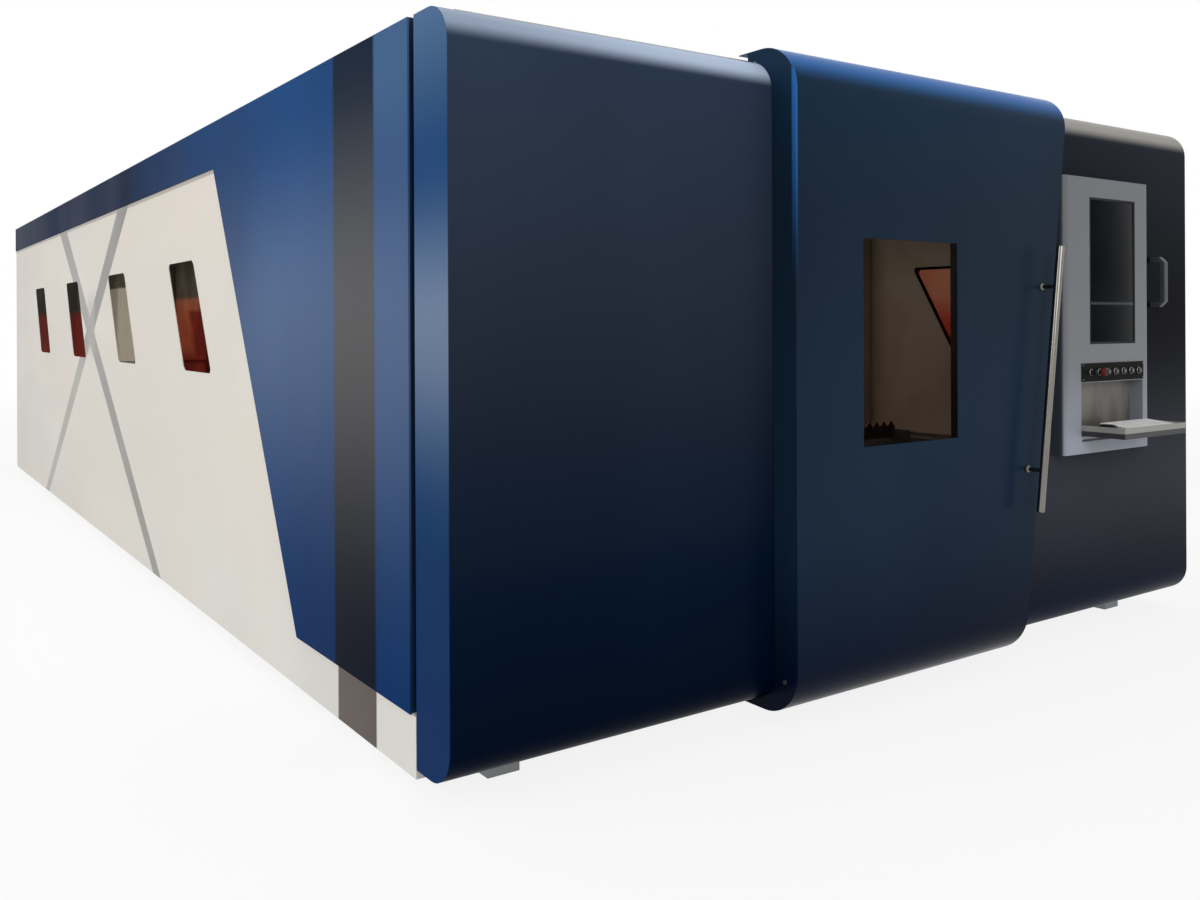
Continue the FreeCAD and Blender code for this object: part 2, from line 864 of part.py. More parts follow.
def make_controls():
    plate = box(field_left, field_right, plate_face, console_face, plate_foot, plate_top)
    bore = collar_radius - collar_wall
    places = spread(field_left + control_margin_left, field_right - control_margin_right,
                    control_count)
    collars = []
    for x in places:
        hole = control_bar(x, bore, collar_face - past, console_face + past)
        plate = plate.cut(hole)
        collars.append(control_bar(x, collar_radius, collar_face, plate_face).cut(hole))
    export("button_plate", plate)
    export("button_collars", collars)

    plunger = bore - fit
    plunger_end = collar_face + button_length - button_proud
    # first place: a round selector turns clear of its hole's flats and has a finger bar
    x = places[0]
    knob_face = collar_face - knob_proud / 2
    knob_radius = bore * math.cos(math.pi / control_sides) - fit
    knob = Part.makeCylinder(knob_radius, plunger_end - knob_face,
                             vec(x, knob_face, control_z), vec(0, 1, 0))
    bar_half = knob_radius * knob_bar_share
    bar = box(x - knob_width / 2, x + knob_width / 2, collar_face - knob_proud, knob_face,
              control_z - bar_half, control_z + bar_half)
    export("selector_knob", knob.fuse(bar))
    # second place: emergency stop with a wide cap
    x = places[1]
    stop_face = collar_face - stop_proud
    stem = control_bar(x, plunger, stop_face, plunger_end)
    cap = control_bar(x, stop_radius, stop_face, stop_face + stop_cap)
    export("emergency_stop", cap.fuse(stem))
    # remaining places: push buttons
    for number, x in enumerate(places[2:], start=1):
        export("push_button_%d" % number,
               control_bar(x, plunger, collar_face - button_proud, plunger_end))


def tray_axis():
    """Where the tray's hinge axis runs, as y and z."""
    return console_face + tray_axis_up, recess_foot + tray_floor_gap + tray_axis_up


def make_tray():
    axis_y, axis_z = tray_axis()
    x0 = field_left + tray_side_gap
    x1 = field_right - tray_side_gap
    low = axis_z - tray_axis_up
    tail = axis_y + tray_tail
    tray = box(x0, x1, -tray_reach, tail, low, low + tray_rim)
    for z0, z1 in ((low - past, low + tray_floor),
                   (low + tray_floor + tray_sheet, low + tray_rim + past)):
        tray = tray.cut(box(x0 + tray_sheet, x1 - tray_sheet, -tray_reach + tray_sheet,
                            tail + past, z0, z1))
    pin_hole = Part.makeCylinder(hinge_radius + hinge_gap, x1 - x0 + 2 * past,
                                 vec(x0 - past, axis_y, axis_z), vec(1, 0, 0))
    export("keyboard_tray", tray.cut(pin_hole))

    pins = []
    for x, way in ((field_left, -1), (field_right, 1)):
        inner = x - way * hinge_pin_length / 2
        pins.append(Part.makeCylinder(hinge_radius, hinge_pin_length, vec(inner, axis_y, axis_z),
                                      vec(way, 0, 0)))
    export("tray_hinge_pins", pins)

    key_right = x1 - keyboard_from_right
    key_tip = -tray_reach + keyboard_from_tip
    floor = low + tray_floor + tray_sheet
    side = [(key_tip, floor), (key_tip + keyboard_width, floor),
            (key_tip + keyboard_width, floor + keyboard_high), (key_tip, floor + keyboard_low)]
    export("keyboard", prism_x(side, key_right - keyboard_length, key_right))


def make_grab_handle():
    """A moulded bridge handle: its side outline, pushed across its width."""
    z0 = grab_foot
    z1 = grab_foot + grab_height
    out = -grab_reach
    inner = out + grab_bar
    turn = grab_inner_bend
    outline = [(0, z0), (out + grab_bend, z0), (out, z0 + grab_bend), (out, z1 - grab_bend),
               (out + grab_bend, z1), (0, z1), (0, z1 - grab_bar), (inner + turn, z1 - grab_bar),
               (inner, z1 - grab_bar - turn), (inner, z0 + grab_bar + turn),
               (inner + turn, z0 + grab_bar), (0, z0 + grab_bar)]
    handle = prism_x(outline, grab_x - grab_width / 2, grab_x + grab_width / 2)
    outer = [edge for edge in handle.Edges
             if abs(abs(edge.CenterOfMass.x - grab_x) - grab_width / 2) < fit
             and (edge.CenterOfMass.y < inner - fit or edge.CenterOfMass.z in (z0, z1))]
    export("grab_handle", handle.makeChamfer(grab_edge, outer))


# ---------------------------------------------------------------- bed and pallet

bed_end = shell_length - bed_to_rear
beam_x = wall_inner - beam_from_wall
beam_foot = beam_top - beam_height
beam_inner = beam_x - beam_width / 2
beam_outer = beam_x + beam_width / 2
leg_places = spread(bed_start + leg_from_end, bed_end - leg_from_end, leg_count)
pallet_side_x = beam_x - pallet_from_beam
pallet_top = pallet_foot + pallet_side
notch_floor = pallet_top + comb_height - comb_notch
slats_top = notch_floor + slat_height


def make_bed():
    beam = tube_y(beam_inner, beam_outer, bed_start, bed_end, beam_foot, beam_top, beam_wall)
    reach = pallet_side_x - pallet_side / 2
    legs = []
    crosses = []
    feet = []
    for y in leg_places:
        bracket = box(reach, beam_inner, y - bracket_length / 2, y + bracket_length / 2,
                      pallet_foot - bracket_height, pallet_foot)
        beam = beam.fuse(bracket)
        leg = tube_z(beam_inner, beam_outer, y - leg_length / 2, y + leg_length / 2,
                     foot_height, beam_foot, leg_wall)
        sole = box(beam_inner, beam_outer, y - leg_length / 2, y + leg_length / 2,
                   foot_height, foot_height + leg_wall)
        legs.append(leg.fuse(sole))
        crosses.append(tube_x(-beam_inner, beam_inner, y - cross_length / 2,
                              y + cross_length / 2, beam_foot, beam_foot + cross_height,
                              beam_wall))
        half_pad = foot_pad_width / 2
        pad = box(beam_x - half_pad, beam_x + half_pad, y - half_pad, y + half_pad, 0, foot_pad)
        stud = flat_sided(vec(beam_x, y, 0), foot_stud, foot_stud_sides, vec(0, 0, foot_height))
        feet.append(pad.fuse(stud))
    export("bed_beams", both_sides([beam]))
    export("bed_legs", both_sides(legs))
    export("bed_cross_members", crosses)
    export("levelling_feet", both_sides(feet))
    ties = []
    for y in post_places()[1:-1]:
        low = y + (post - tie) / 2
        ties.append(tube_x(beam_outer, wall_inner - post, low, low + tie, tie_foot, tie_foot + tie,
                           tie_wall))
    export("enclosure_ties", both_sides(ties))


def rail_outline(middle, low, width, height):
    """A profiled guide rail: wide foot, waist and head."""
    half = width / 2
    waist = half * 0.7
    return [(middle - half, low), (middle + half, low), (middle + half, low + height * 0.3),
            (middle + waist, low + height * 0.45), (middle + waist, low + height * 0.6),
            (middle + half, low + height * 0.75), (middle + half, low + height),
            (middle - half, low + height), (middle - half, low + height * 0.75),
            (middle - waist, low + height * 0.6), (middle - waist, low + height * 0.45),
            (middle - half, low + height * 0.3)]


rail_x = beam_x + rail_offset
magnet_x = beam_x - magnet_offset


def make_travel_tracks():
    rail = prism_y(rail_outline(rail_x, beam_top, rail_width, rail_height), bed_start, bed_end)
    magnet = box(magnet_x - magnet_width / 2, magnet_x + magnet_width / 2, bed_start, bed_end,
                 beam_top, beam_top + magnet_height)
    export("travel_tracks", both_sides([rail, magnet]))


def make_pallet():
    y0 = pallet_start
    y1 = pallet_start + pallet_length
    x0 = pallet_side_x - pallet_side / 2
    x1 = pallet_side_x + pallet_side / 2
    side = tube_y(x0, x1, y0, y1, pallet_foot, pallet_top, pallet_wall)
    comb_x0 = pallet_side_x - comb_thickness / 2
    comb_x1 = comb_x0 + comb_thickness
    comb = box(comb_x0, comb_x1, y0, y1, pallet_top, pallet_top + comb_height)
    slat_pitch = pallet_length / slat_count
    half_slot = slat_thickness / 2 + fit
    slats = []
    for i in range(slat_count):
        y = y0 + (i + 0.5) * slat_pitch
        comb = comb.cut(box(comb_x0 - past, comb_x1 + past, y - half_slot, y + half_slot,
                            notch_floor, pallet_top + comb_height + past))
        slats.append(slat(y))
    export("pallet_side_rails", both_sides([side.fuse(comb)]))
    export("support_slats", slats)

    inset = pallet_cross
    crosses = []
    for y in spread(y0 + inset, y1 - inset, pallet_cross_count):
        crosses.append(tube_x(-x0, x0, y - pallet_cross / 2, y + pallet_cross / 2,
                              pallet_top - pallet_cross - pallet_wall, pallet_top - pallet_wall,
                              pallet_wall))
    export("pallet_cross_tubes", crosses)


def slat(y):
    """One upright slat across the pallet, its top edge cut into saw teeth."""
    half = pallet_side_x + slat_overhang
    tooth = 2 * half / slat_tooth_count
    outline = [(-half, notch_floor), (half, notch_floor)]
    for i in range(slat_tooth_count):
        right = half - i * tooth
        outline.append((right, slats_top - slat_tooth_depth))
        outline.append((right - tooth / 2, slats_top))
    outline.append((-half, slats_top - slat_tooth_depth))
    return prism_y(outline, y - slat_thickness / 2, y + slat_thickness / 2)


def make_trough():
    low = beam_foot + cross_height
    top = low + trough_height
    foot = trough_foot_half
    wide = pallet_side_x - trough_from_side
    outline = [(-foot, low), (foot, low), (wide, top), (wide - trough_sheet, top),
               (foot - trough_sheet / 2, low + trough_sheet),
               (-foot + trough_sheet / 2, low + trough_sheet), (-wide + trough_sheet, top),
               (-wide, top)]
    start = pallet_start + trough_end_gap
    end = pallet_start + pallet_length - trough_end_gap
    export("scrap_trough", prism_y(outline, start, end))


# ---------------------------------------------------------------- gantry, carriage, head

block_top = beam_top + block_height
girder_foot = block_top + saddle_rise
girder_top = girder_foot + girder_height
girder_face = gantry_y - girder_depth / 2
plate_back = girder_face - x_block_depth
plate_front = plate_back - carriage_plate


def make_gantry():
    half_base = saddle_base / 2
    half_crown = saddle_crown / 2
    outline = [(gantry_y - half_base, block_top), (gantry_y + half_base, block_top),
               (gantry_y + half_crown, girder_foot), (gantry_y - half_crown, girder_foot)]
    inset = saddle_light_inset
    toe = half_base - saddle_light_from_toe
    light = [(gantry_y - toe, block_top + inset), (gantry_y + toe, block_top + inset),
             (gantry_y + half_crown - inset, girder_foot - inset),
             (gantry_y - half_crown + inset, girder_foot - inset)]
    saddle = prism_x(outline, beam_inner, beam_outer)
    saddle = saddle.cut(prism_x(light, beam_inner - past, beam_outer + past))
    export("gantry_saddles", both_sides([saddle]))

    runners = []
    for y in (gantry_y - half_base + block_length / 2, gantry_y + half_base - block_length / 2):
        block = box(rail_x - block_width / 2, rail_x + block_width / 2, y - block_length / 2,
                    y + block_length / 2, beam_top + block_clear, block_top)
        half_slot = rail_width / 2 + fit
        slot = box(rail_x - half_slot, rail_x + half_slot, y - block_length, y + block_length,
                   beam_top, beam_top + rail_height + fit)
        runners.append(block.cut(slot))
    runners.append(box(magnet_x - magnet_width / 2 + fit, magnet_x + magnet_width / 2 - fit,
                       gantry_y - coil_length / 2, gantry_y + coil_length / 2,
                       beam_top + magnet_height + air_gap, block_top))
    export("gantry_runners", both_sides(runners))

    outer = box(-beam_outer, beam_outer, girder_face, girder_face + girder_depth, girder_foot,
                girder_top)
    inner = box(-beam_outer + girder_wall, beam_outer - girder_wall, girder_face + girder_wall,
                girder_face + girder_depth - girder_wall, girder_foot + girder_wall,
                girder_top - girder_wall)
    export("gantry_beam", outer.cut(inner))

    tracks = []
    length = beam_outer - x_rail_inset
    for z in x_rail_heights():
        tracks.append(box(-length, length, girder_face - x_rail_height, girder_face,
                          z - x_rail_width / 2, z + x_rail_width / 2))
    middle = (girder_foot + girder_top) / 2
    tracks.append(box(-length, length, girder_face - x_magnet_depth, girder_face,
                      middle - x_magnet_height / 2, middle + x_magnet_height / 2))
    export("gantry_tracks", tracks)


def x_rail_heights():
    return girder_foot + x_rail_inset, girder_top - x_rail_inset


def make_carriage():
    runners = []
    half_slot = x_rail_width / 2 + fit
    edge = carriage_width / 2
    for z in x_rail_heights():
        for x in (-edge + x_block_length / 2, edge - x_block_length / 2):
            x0 = x - x_block_length / 2
            x1 = x + x_block_length / 2
            block = box(x0, x1, plate_back, girder_face - x_block_clear, z - x_block_width / 2,
                        z + x_block_width / 2)
            slot = box(x0 - past, x1 + past, girder_face - x_rail_height - fit, girder_face,
                       z - half_slot, z + half_slot)
            runners.append(block.cut(slot))
    middle = (girder_foot + girder_top) / 2
    coil_half = x_magnet_height / 2
    runners.append(box(-edge / 2, edge / 2, plate_back,
                       girder_face - x_magnet_depth - air_gap, middle - coil_half,
                       middle + coil_half))
    export("carriage_runners", runners)
    export("carriage_plate", box(-edge, edge, plate_front, plate_back,
                                 middle - carriage_height / 2, middle + carriage_height / 2))

    front = plate_front - lift_depth
    top = lift_foot + lift_height
    drive = box(-lift_half_width, lift_half_width, front, plate_front, lift_foot, top)
    motor_half = lift_motor / 2
    drive = drive.fuse(box(-motor_half, motor_half, plate_front - lift_motor, plate_front, top,
                           top + lift_motor_height))
    for x in (-lift_rib_x, lift_rib_x):
        drive = drive.fuse(box(x - lift_rib_width / 2, x + lift_rib_width / 2,
                               front - lift_rib_depth, front, lift_foot, top))
    export("head_lift_drive", drive)


nozzle_tip = slats_top + slats_to_nozzle + head_travel


def make_head():
    rib_front = plate_front - lift_depth - lift_rib_depth
    slide_back = rib_front + lift_rib_depth - fit
    slide_front = slide_back - slide_depth
    slide_top = lift_foot + lift_height - lift_rib_depth
    slide_foot = slide_top - slide_height
    head_slide = box(-slide_half_width, slide_half_width, slide_front, slide_back, slide_foot,
                     slide_top)
    groove_half = lift_rib_width / 2 + fit
    for x in (-lift_rib_x, lift_rib_x):
        head_slide = head_slide.cut(box(x - groove_half, x + groove_half, rib_front - fit,
                                        slide_back + past, slide_foot - past, slide_top + past))
    export("head_slide", head_slide)

    axis_y = slide_front - head_axis_out
    body_foot = nozzle_tip + nozzle_height
    body_top = body_foot + head_body
    collimator_top = body_top + collimator_height
    socket_top = collimator_top + fibre_socket_height
    head = Part.makeCone(nozzle_radius, nozzle_top_radius, nozzle_height,
                         vec(0, axis_y, nozzle_tip))
    for z0, z1, radius in ((body_foot, body_top, head_radius),
                           (body_top, collimator_top, collimator_radius),
                           (collimator_top, socket_top, fibre_socket_radius)):
        head = head.fuse(flat_sided(vec(0, axis_y, z0), radius, head_sides, vec(0, 0, z1 - z0)))
    mount_foot = max(slide_foot, body_foot)
    mount = box(-head_mount_half, head_mount_half, axis_y, slide_front, mount_foot,
                min(slide_top, body_top))
    export("cutting_head", head.fuse(mount))


# ---------------------------------------------------------------- build everything

make_front()
make_door_panel()
make_door_frame()
make_door_window()
make_door_handle()
make_door_guides()
make_walls()
make_posts()
make_roof()
make_rear_wall()
make_shutter()
make_console_housing()
make_screen()
make_controls()
make_tray()
make_grab_handle()
make_bed()
make_travel_tracks()
make_pallet()
make_trough()
make_gantry()
make_carriage()
make_head()
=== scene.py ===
import json
from math import cos, hypot, radians, sin, tan

import bpy
from mathutils import Matrix, Vector

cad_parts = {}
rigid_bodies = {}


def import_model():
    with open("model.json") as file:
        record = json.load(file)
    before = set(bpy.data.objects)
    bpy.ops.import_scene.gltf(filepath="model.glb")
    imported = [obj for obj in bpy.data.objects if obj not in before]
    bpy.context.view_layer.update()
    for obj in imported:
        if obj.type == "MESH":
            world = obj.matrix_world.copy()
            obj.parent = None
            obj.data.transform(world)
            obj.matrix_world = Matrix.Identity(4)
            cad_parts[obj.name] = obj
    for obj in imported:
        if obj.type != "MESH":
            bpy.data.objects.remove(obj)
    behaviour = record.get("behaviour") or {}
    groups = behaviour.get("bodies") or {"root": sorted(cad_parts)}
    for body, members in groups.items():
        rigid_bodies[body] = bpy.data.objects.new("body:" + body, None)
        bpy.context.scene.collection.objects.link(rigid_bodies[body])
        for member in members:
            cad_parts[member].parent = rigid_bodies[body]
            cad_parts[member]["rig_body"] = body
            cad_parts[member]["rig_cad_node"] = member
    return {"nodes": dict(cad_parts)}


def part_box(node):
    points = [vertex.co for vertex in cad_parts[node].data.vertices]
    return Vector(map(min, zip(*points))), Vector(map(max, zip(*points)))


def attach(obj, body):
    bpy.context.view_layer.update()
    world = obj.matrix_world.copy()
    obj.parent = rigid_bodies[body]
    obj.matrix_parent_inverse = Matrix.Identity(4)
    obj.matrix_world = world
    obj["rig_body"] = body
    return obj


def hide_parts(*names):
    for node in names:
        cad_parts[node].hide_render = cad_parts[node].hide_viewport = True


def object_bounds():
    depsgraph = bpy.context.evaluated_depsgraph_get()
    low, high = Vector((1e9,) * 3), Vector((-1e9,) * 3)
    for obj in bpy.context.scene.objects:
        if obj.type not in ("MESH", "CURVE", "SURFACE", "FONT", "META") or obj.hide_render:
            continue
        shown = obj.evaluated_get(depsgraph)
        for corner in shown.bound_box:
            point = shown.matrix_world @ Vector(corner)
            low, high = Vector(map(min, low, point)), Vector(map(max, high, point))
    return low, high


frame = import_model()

solids_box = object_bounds()
nodes = frame["nodes"]

# Metres. X runs across the front, Y into the machine, Z up from the floor.
full_height = solids_box[1].z
front_low, front_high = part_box("left_cabinet")
front_face = front_low.y
side_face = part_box("right_wall_panels")[1].x
blue_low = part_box("left_blue_panel")[0]
pane_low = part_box("left_windows")[0]
door_low, door_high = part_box("door_panel")
console_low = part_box("console_housing")[0]
plate_low, plate_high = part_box("button_plate")
tray_low, tray_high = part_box("keyboard_tray")
keys_low, keys_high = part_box("keyboard")

# the side's stripes: each edge as metres behind the front at stripe_head and at stripe_foot
# (heights above the front's underside)
stripe_head = 1.97
stripe_foot = -0.02
stripe_to_front = ((6.046, 3.248), (6.33, 3.415))
stripe_to_rear = ((3.943, 6.846), (4.235, 7.017))
stripes_cross_back = (4.98, 5.22)
stripes_cross_up = (1.1, 1.45)
band_foot = 1.958                  # underside of the blue band, above the front's underside
band_crossing = (3.86, 4.12)       # where a stripe goes on over the blue band
upright_near, upright_far = 0.49, 0.804

# the side's windows
pane_margin = 0.015                # a pane reaches this far past its cut-out
window_lean = tan(radians(30))
window_foot = pane_low.z + pane_margin
near_window = pane_low.y + pane_margin - window_foot * window_lean
# the stretch of panes painted pale as reflections
second_window = (front_face + 3.76, front_face + 4.56)

# the door's pull handle
door_lean = radians(7.8)
handle_inset = 0.079               # handle's middle line from the door's leaning right edge
handle_radius = 0.015
handle_post_from_end = 0.155


def paint(red, green, blue):
    """A shade from a paint card, 0 to 255, as the renderer mixes it."""
    out = []
    for part in (red, green, blue):
        part /= 255
        out.append(part / 12.92 if part <= 0.04045 else ((part + 0.055) / 1.055) ** 2.4)
    return (*out, 1.0)


def scaled(shade, factor):
    return (*[min(1.0, part * factor) for part in shade[:3]], 1.0)


def shades(*stops):
    """Stops of a ramp: each is a place from 0 to 1 and its red, green and blue."""
    return [(place, paint(*parts)) for place, *parts in stops]


def put(tree, socket, value):
    """Links a socket to another one's output, or sets its own value."""
    if isinstance(value, bpy.types.NodeSocket):
        tree.links.new(value, socket)
    else:
        socket.default_value = value


def new_node(tree, kind, inputs):
    """A node with its inputs, by name or number, linked or set."""
    node = tree.nodes.new("ShaderNode" + kind)
    for socket, value in inputs.items():
        put(tree, node.inputs[socket], value)
    return node


# -------- finishes

class Finish:
    """A finish that is mixed on the piece's own coordinates."""

    def __init__(self, name, metallic=0.0, roughness=0.5):
        self.material = bpy.data.materials.new(name)
        self.material.use_nodes = True
        self.tree = self.material.node_tree
        self.shader = self.tree.nodes["Principled BSDF"]
        self.shader.inputs["Metallic"].default_value = metallic
        self.shader.inputs["Roughness"].default_value = roughness
        self.place = new_node(self.tree, "TexCoord", {}).outputs["Object"]
        self.axis = new_node(self.tree, "SeparateXYZ", {0: self.place}).outputs

    def sum(self, operation, first, second=0.0):
        node = new_node(self.tree, "Math", {0: first, 1: second})
        node.operation = operation
        return node.outputs[0]

    def both(self, first, *others):
        """1 where all the masks are 1; a plain number among them weakens the rest."""
        for other in others:
            first = self.sum("MULTIPLY", first, other)
        return first

    def grain(self, size, stretch=(1, 1, 1), detail=3.0, rough=0.5):
        """Irregular grain, 0 to 1; size is its coarseness in metres."""
        mapped = new_node(self.tree, "Mapping", {"Vector": self.place, "Scale": stretch})
        return new_node(self.tree, "TexNoise", {
            "Vector": mapped.outputs[0], "Scale": 1 / size, "Detail": detail,
            "Roughness": rough}).outputs["Fac"]

    def between(self, value, low, high, at_low=0.0, at_high=1.0, smooth=True):
        """at_low where the value is low or less, at_high where it is high or more."""
        node = new_node(self.tree, "MapRange", {"Value": value, "From Min": low, "From Max": high,
                                                "To Min": at_low, "To Max": at_high})
        node.interpolation_type = "SMOOTHSTEP" if smooth else "LINEAR"
        return node.outputs["Result"]

    def strip(self, value, low, high, soft):
        """1 between low and high, with soft edges."""
        return self.both(self.between(value, low - soft, low + soft),
                         self.between(value, high - soft, high + soft, 1.0, 0.0))

    def height(self):
        """0 at the floor, 1 at the machine's top."""
        return self.between(self.axis["Z"], 0.0, full_height, smooth=False)

    def behind(self):
        """How far a place is behind the flat front face, in metres."""
        reach = 10.0               # longer than the machine
        return self.between(self.axis["Y"], front_face, front_face + reach, 0.0, reach, smooth=False)

    def on_side(self):
        """1 on the machine's outer side faces, 0 on the inner faces of their sheets."""
        return self.between(self.sum("ABSOLUTE", self.axis["X"]), side_face - 0.0022, side_face - 0.0008)

    def mix(self, share, first, second, blend="MIX"):
        node = new_node(self.tree, "Mix", {"Factor": share, 6: first, 7: second})
        node.data_type = "RGBA"
        node.blend_type = blend
        return node.outputs[2]

    def times(self, shade, factors):
        """The shade with its red, green and blue multiplied."""
        return self.mix(1.0, shade, (*factors, 1.0), "MULTIPLY")

    def steps(self, value, stops):
        """Shades along a value from 0 to 1."""
        node = new_node(self.tree, "ValToRGB", {0: value})
        ramp = node.color_ramp
        ramp.interpolation = "B_SPLINE"
        while len(ramp.elements) < len(stops):
            ramp.elements.new(0.5)
        for element, (position, shade) in zip(ramp.elements, stops):
            element.position = position
            element.color = shade
        return node.outputs[0]

    def colour(self, value):
        put(self.tree, self.shader.inputs["Base Color"], value)

    def roughness(self, value):
        put(self.tree, self.shader.inputs["Roughness"], value)

    def specular(self, amount):
        self.shader.inputs["Specular IOR Level"].default_value = amount

    def relief(self, height, depth, strength=1.0, after=None):
        """Fine relief; depth is its height in metres."""
        inputs = {"Strength": strength, "Distance": depth, "Height": height}
        if after is not None:
            inputs["Normal"] = after
        normal = new_node(self.tree, "Bump", inputs).outputs[0]
        put(self.tree, self.shader.inputs["Normal"], normal)
        return normal


def powder_coat(name, stops, sheen=0.5, polish=(0.34, 0.46), patches=0.1):
    """Powder coat on sheet steel; its stops run from 0 at the floor to 1 at the top."""
    coat = Finish(name)
    base = coat.steps(coat.height(), stops)
    cloud = coat.grain(0.9, (1.0, 1.0, 0.45), 2.0)
    fine = coat.grain(0.02, detail=2.0)
    darker = coat.times(base, (1 - patches, 1 - patches, 1 - patches * 0.8))
    lighter = coat.times(base, (1 + patches, 1 + patches, 1 + patches))
    base = coat.mix(coat.between(cloud, 0.32, 0.68), darker, lighter)
    base = coat.mix(coat.between(fine, 0.35, 0.65, 0.0, 0.1), base, coat.times(base, (0.86, 0.86, 0.88)))
    coat.colour(base)
    coat.roughness(coat.between(cloud, 0.3, 0.7, *polish))
    coat.specular(sheen)
    orange_peel = coat.grain(0.0022, detail=1.0)
    waves = coat.grain(0.35, (1.0, 1.0, 0.6), 1.0)
    coat.relief(orange_peel, 0.00006, 0.35, coat.relief(waves, 0.0022, 0.35))
    return coat, base


def painted_highlight_coat(name, stops, painted_highlight, highlight_from, highlight_to, corner=None, **looks):
    """Powder coat with a painted highlight: paler up its rounded top edge and on the bend down the front
    corner.
    """
    coat, base = powder_coat(name, stops, **looks)
    # painted highlight up the rounded top edge
    rise = coat.between(coat.axis["Z"], highlight_from, highlight_to, 0.0, 0.85)
    if corner is not None:
        rise = coat.both(rise, coat.between(coat.axis["X"], corner.x + 0.001, corner.x + 0.004))
        # painted highlight on the bend down the front corner
        corner_highlight = coat.both(coat.strip(coat.axis["X"], corner.x - 0.01, corner.x + 0.01, 0.003),
                         coat.strip(coat.axis["Y"], corner.y - 0.01, corner.y + 0.016, 0.004),
                         coat.between(coat.axis["Z"], 1.45, 2.1, 0.0, 0.8))
        rise = coat.sum("MAXIMUM", rise, corner_highlight)
    coat.colour(coat.mix(rise, base, painted_highlight))
    return coat.material


def plain_coat(name, shade, foot=0.9, head=1.06, **looks):
    """Powder coat of one shade; painted shade makes it a little darker near the floor, painted light a
    little paler at the top.
    """
    return powder_coat(name, [(0.0, scaled(shade, foot)), (0.5, shade),
                              (1.0, scaled(shade, head))], **looks)[0].material


def livery_coat():
    """White side panels with two grey stripes that cross and an upright one."""
    white = shades((0.0, 224, 222, 214), (0.2, 218, 214, 204), (1.0, 216, 210, 197))
    coat, base = powder_coat("white_side_coat", white, sheen=0.2, polish=(0.3, 0.42), patches=0.05)
    back = coat.behind()
    up = coat.sum("SUBTRACT", coat.axis["Z"], front_low.z)
    warm = coat.between(coat.grain(1.1, (1.0, 0.5, 1.4), 1.0), 0.4, 0.75, 0.0, 0.7)
    base = coat.mix(warm, base, paint(221, 209, 197))
    bright = coat.between(coat.grain(0.8, (1.0, 0.4, 2.2), 1.0), 0.42, 0.72)
    base = coat.mix(coat.both(bright, coat.between(back, 2.0, 4.4, 0.0, 0.5)), base, paint(232, 228, 216))
    inner_face = base
    base = coat.mix(coat.between(back, 1.8, 3.6, 0.0, 0.35), base, paint(196, 188, 178))

    def past_edge(edge):
        """How far a place lies behind a stripe's slanted edge, square to it."""
        at_head, at_foot = edge
        slant = (at_head - at_foot) / (stripe_head - stripe_foot)
        drift = coat.both(coat.sum("SUBTRACT", up, stripe_foot), slant)
        gap = coat.sum("SUBTRACT", coat.sum("SUBTRACT", back, at_foot), drift)
        return coat.both(gap, 1 / hypot(1, slant))

    def slanted(stripe, soft=0.006):
        near_edge, far_edge = stripe
        return coat.both(coat.between(past_edge(near_edge), -soft, soft),
                         coat.between(past_edge(far_edge), -soft, soft, 1.0, 0.0))

    pale_to_grey = coat.mix(coat.between(up, 0.75, 1.35), paint(158, 154, 147), paint(112, 109, 105))
    base = coat.mix(coat.both(slanted(stripe_to_rear), 0.9), base, pale_to_grey)
    base = coat.mix(coat.both(slanted(stripe_to_front), 0.9), base, paint(128, 125, 120))
    crossing = coat.both(coat.strip(back, *stripes_cross_back, 0.05),
                         coat.strip(up, *stripes_cross_up, 0.06), 0.6)
    base = coat.mix(crossing, base, paint(164, 160, 152))
    # painted shadow: a thin grey line on the wall just under the blue band's lower edge
    band_shadow = coat.both(coat.strip(up, band_foot - 0.02, band_foot + 0.012, 0.003),
                           coat.between(back, 1.9, 2.0), 0.7)
    base = coat.mix(band_shadow, base, paint(140, 135, 126))
    upright = coat.both(coat.strip(back, upright_near, upright_far, 0.006), coat.on_side())
    base = coat.mix(upright, base, paint(74, 61, 55))
    base = coat.mix(coat.on_side(), inner_face, base)
    blue_start = blue_low.y - front_face
    blue_foot = blue_low.z - front_low.z
    # painted shade in the groove: the wall sheet's front end face above the skirt is painted dark navy
    groove = coat.both(coat.between(back, blue_start + 0.0002, blue_start + 0.001, 1.0, 0.0),
                       coat.between(up, blue_foot + 0.002, blue_foot + 0.004))
    coat.colour(coat.mix(groove, base, paint(20, 38, 66)))
    return coat.material


def blue_side_coat():
    """Blue side panels with the soft dark upright stripe; both ramps carry a painted pale reflection band
    at mid-height.
    """
    # painted light: the blue is darker low down, and both ramps hold a pale painted reflection band at
    # mid-height
    blue = shades((0.0, 4, 44, 94), (0.28, 14, 52, 98), (0.6, 100, 118, 148), (0.82, 18, 64, 116),
                  (1.0, 30, 74, 124))
    dark = shades((0.0, 14, 20, 32), (0.28, 4, 9, 20), (0.6, 114, 112, 110), (0.84, 20, 32, 48),
                  (1.0, 20, 32, 48))
    coat, base = powder_coat("blue_side_coat", blue, sheen=0.006, patches=0.14)
    back = coat.behind()
    height = coat.height()
    upright = coat.strip(back, upright_near - 0.01, upright_far + 0.011, 0.012)
    base = coat.mix(coat.both(coat.on_side(), upright, 0.96), base, coat.steps(height, dark))
    # painted highlight: paler blue high up on the panel's front end, before the upright stripe
    near_end_highlight = coat.both(coat.between(back, upright_near, upright_near - 0.02),
                         coat.between(height, 0.72, 0.9, 0.0, 0.6))
    base = coat.mix(near_end_highlight, base, paint(84, 112, 146))
    base = coat.mix(coat.between(back, 1.0, 4.5, 0.0, 0.85), base, paint(2, 10, 36))
    base = coat.mix(coat.both(coat.strip(back, *band_crossing, 0.04), 0.5), base, paint(18, 24, 36))
    coat.colour(base)
    return coat.material


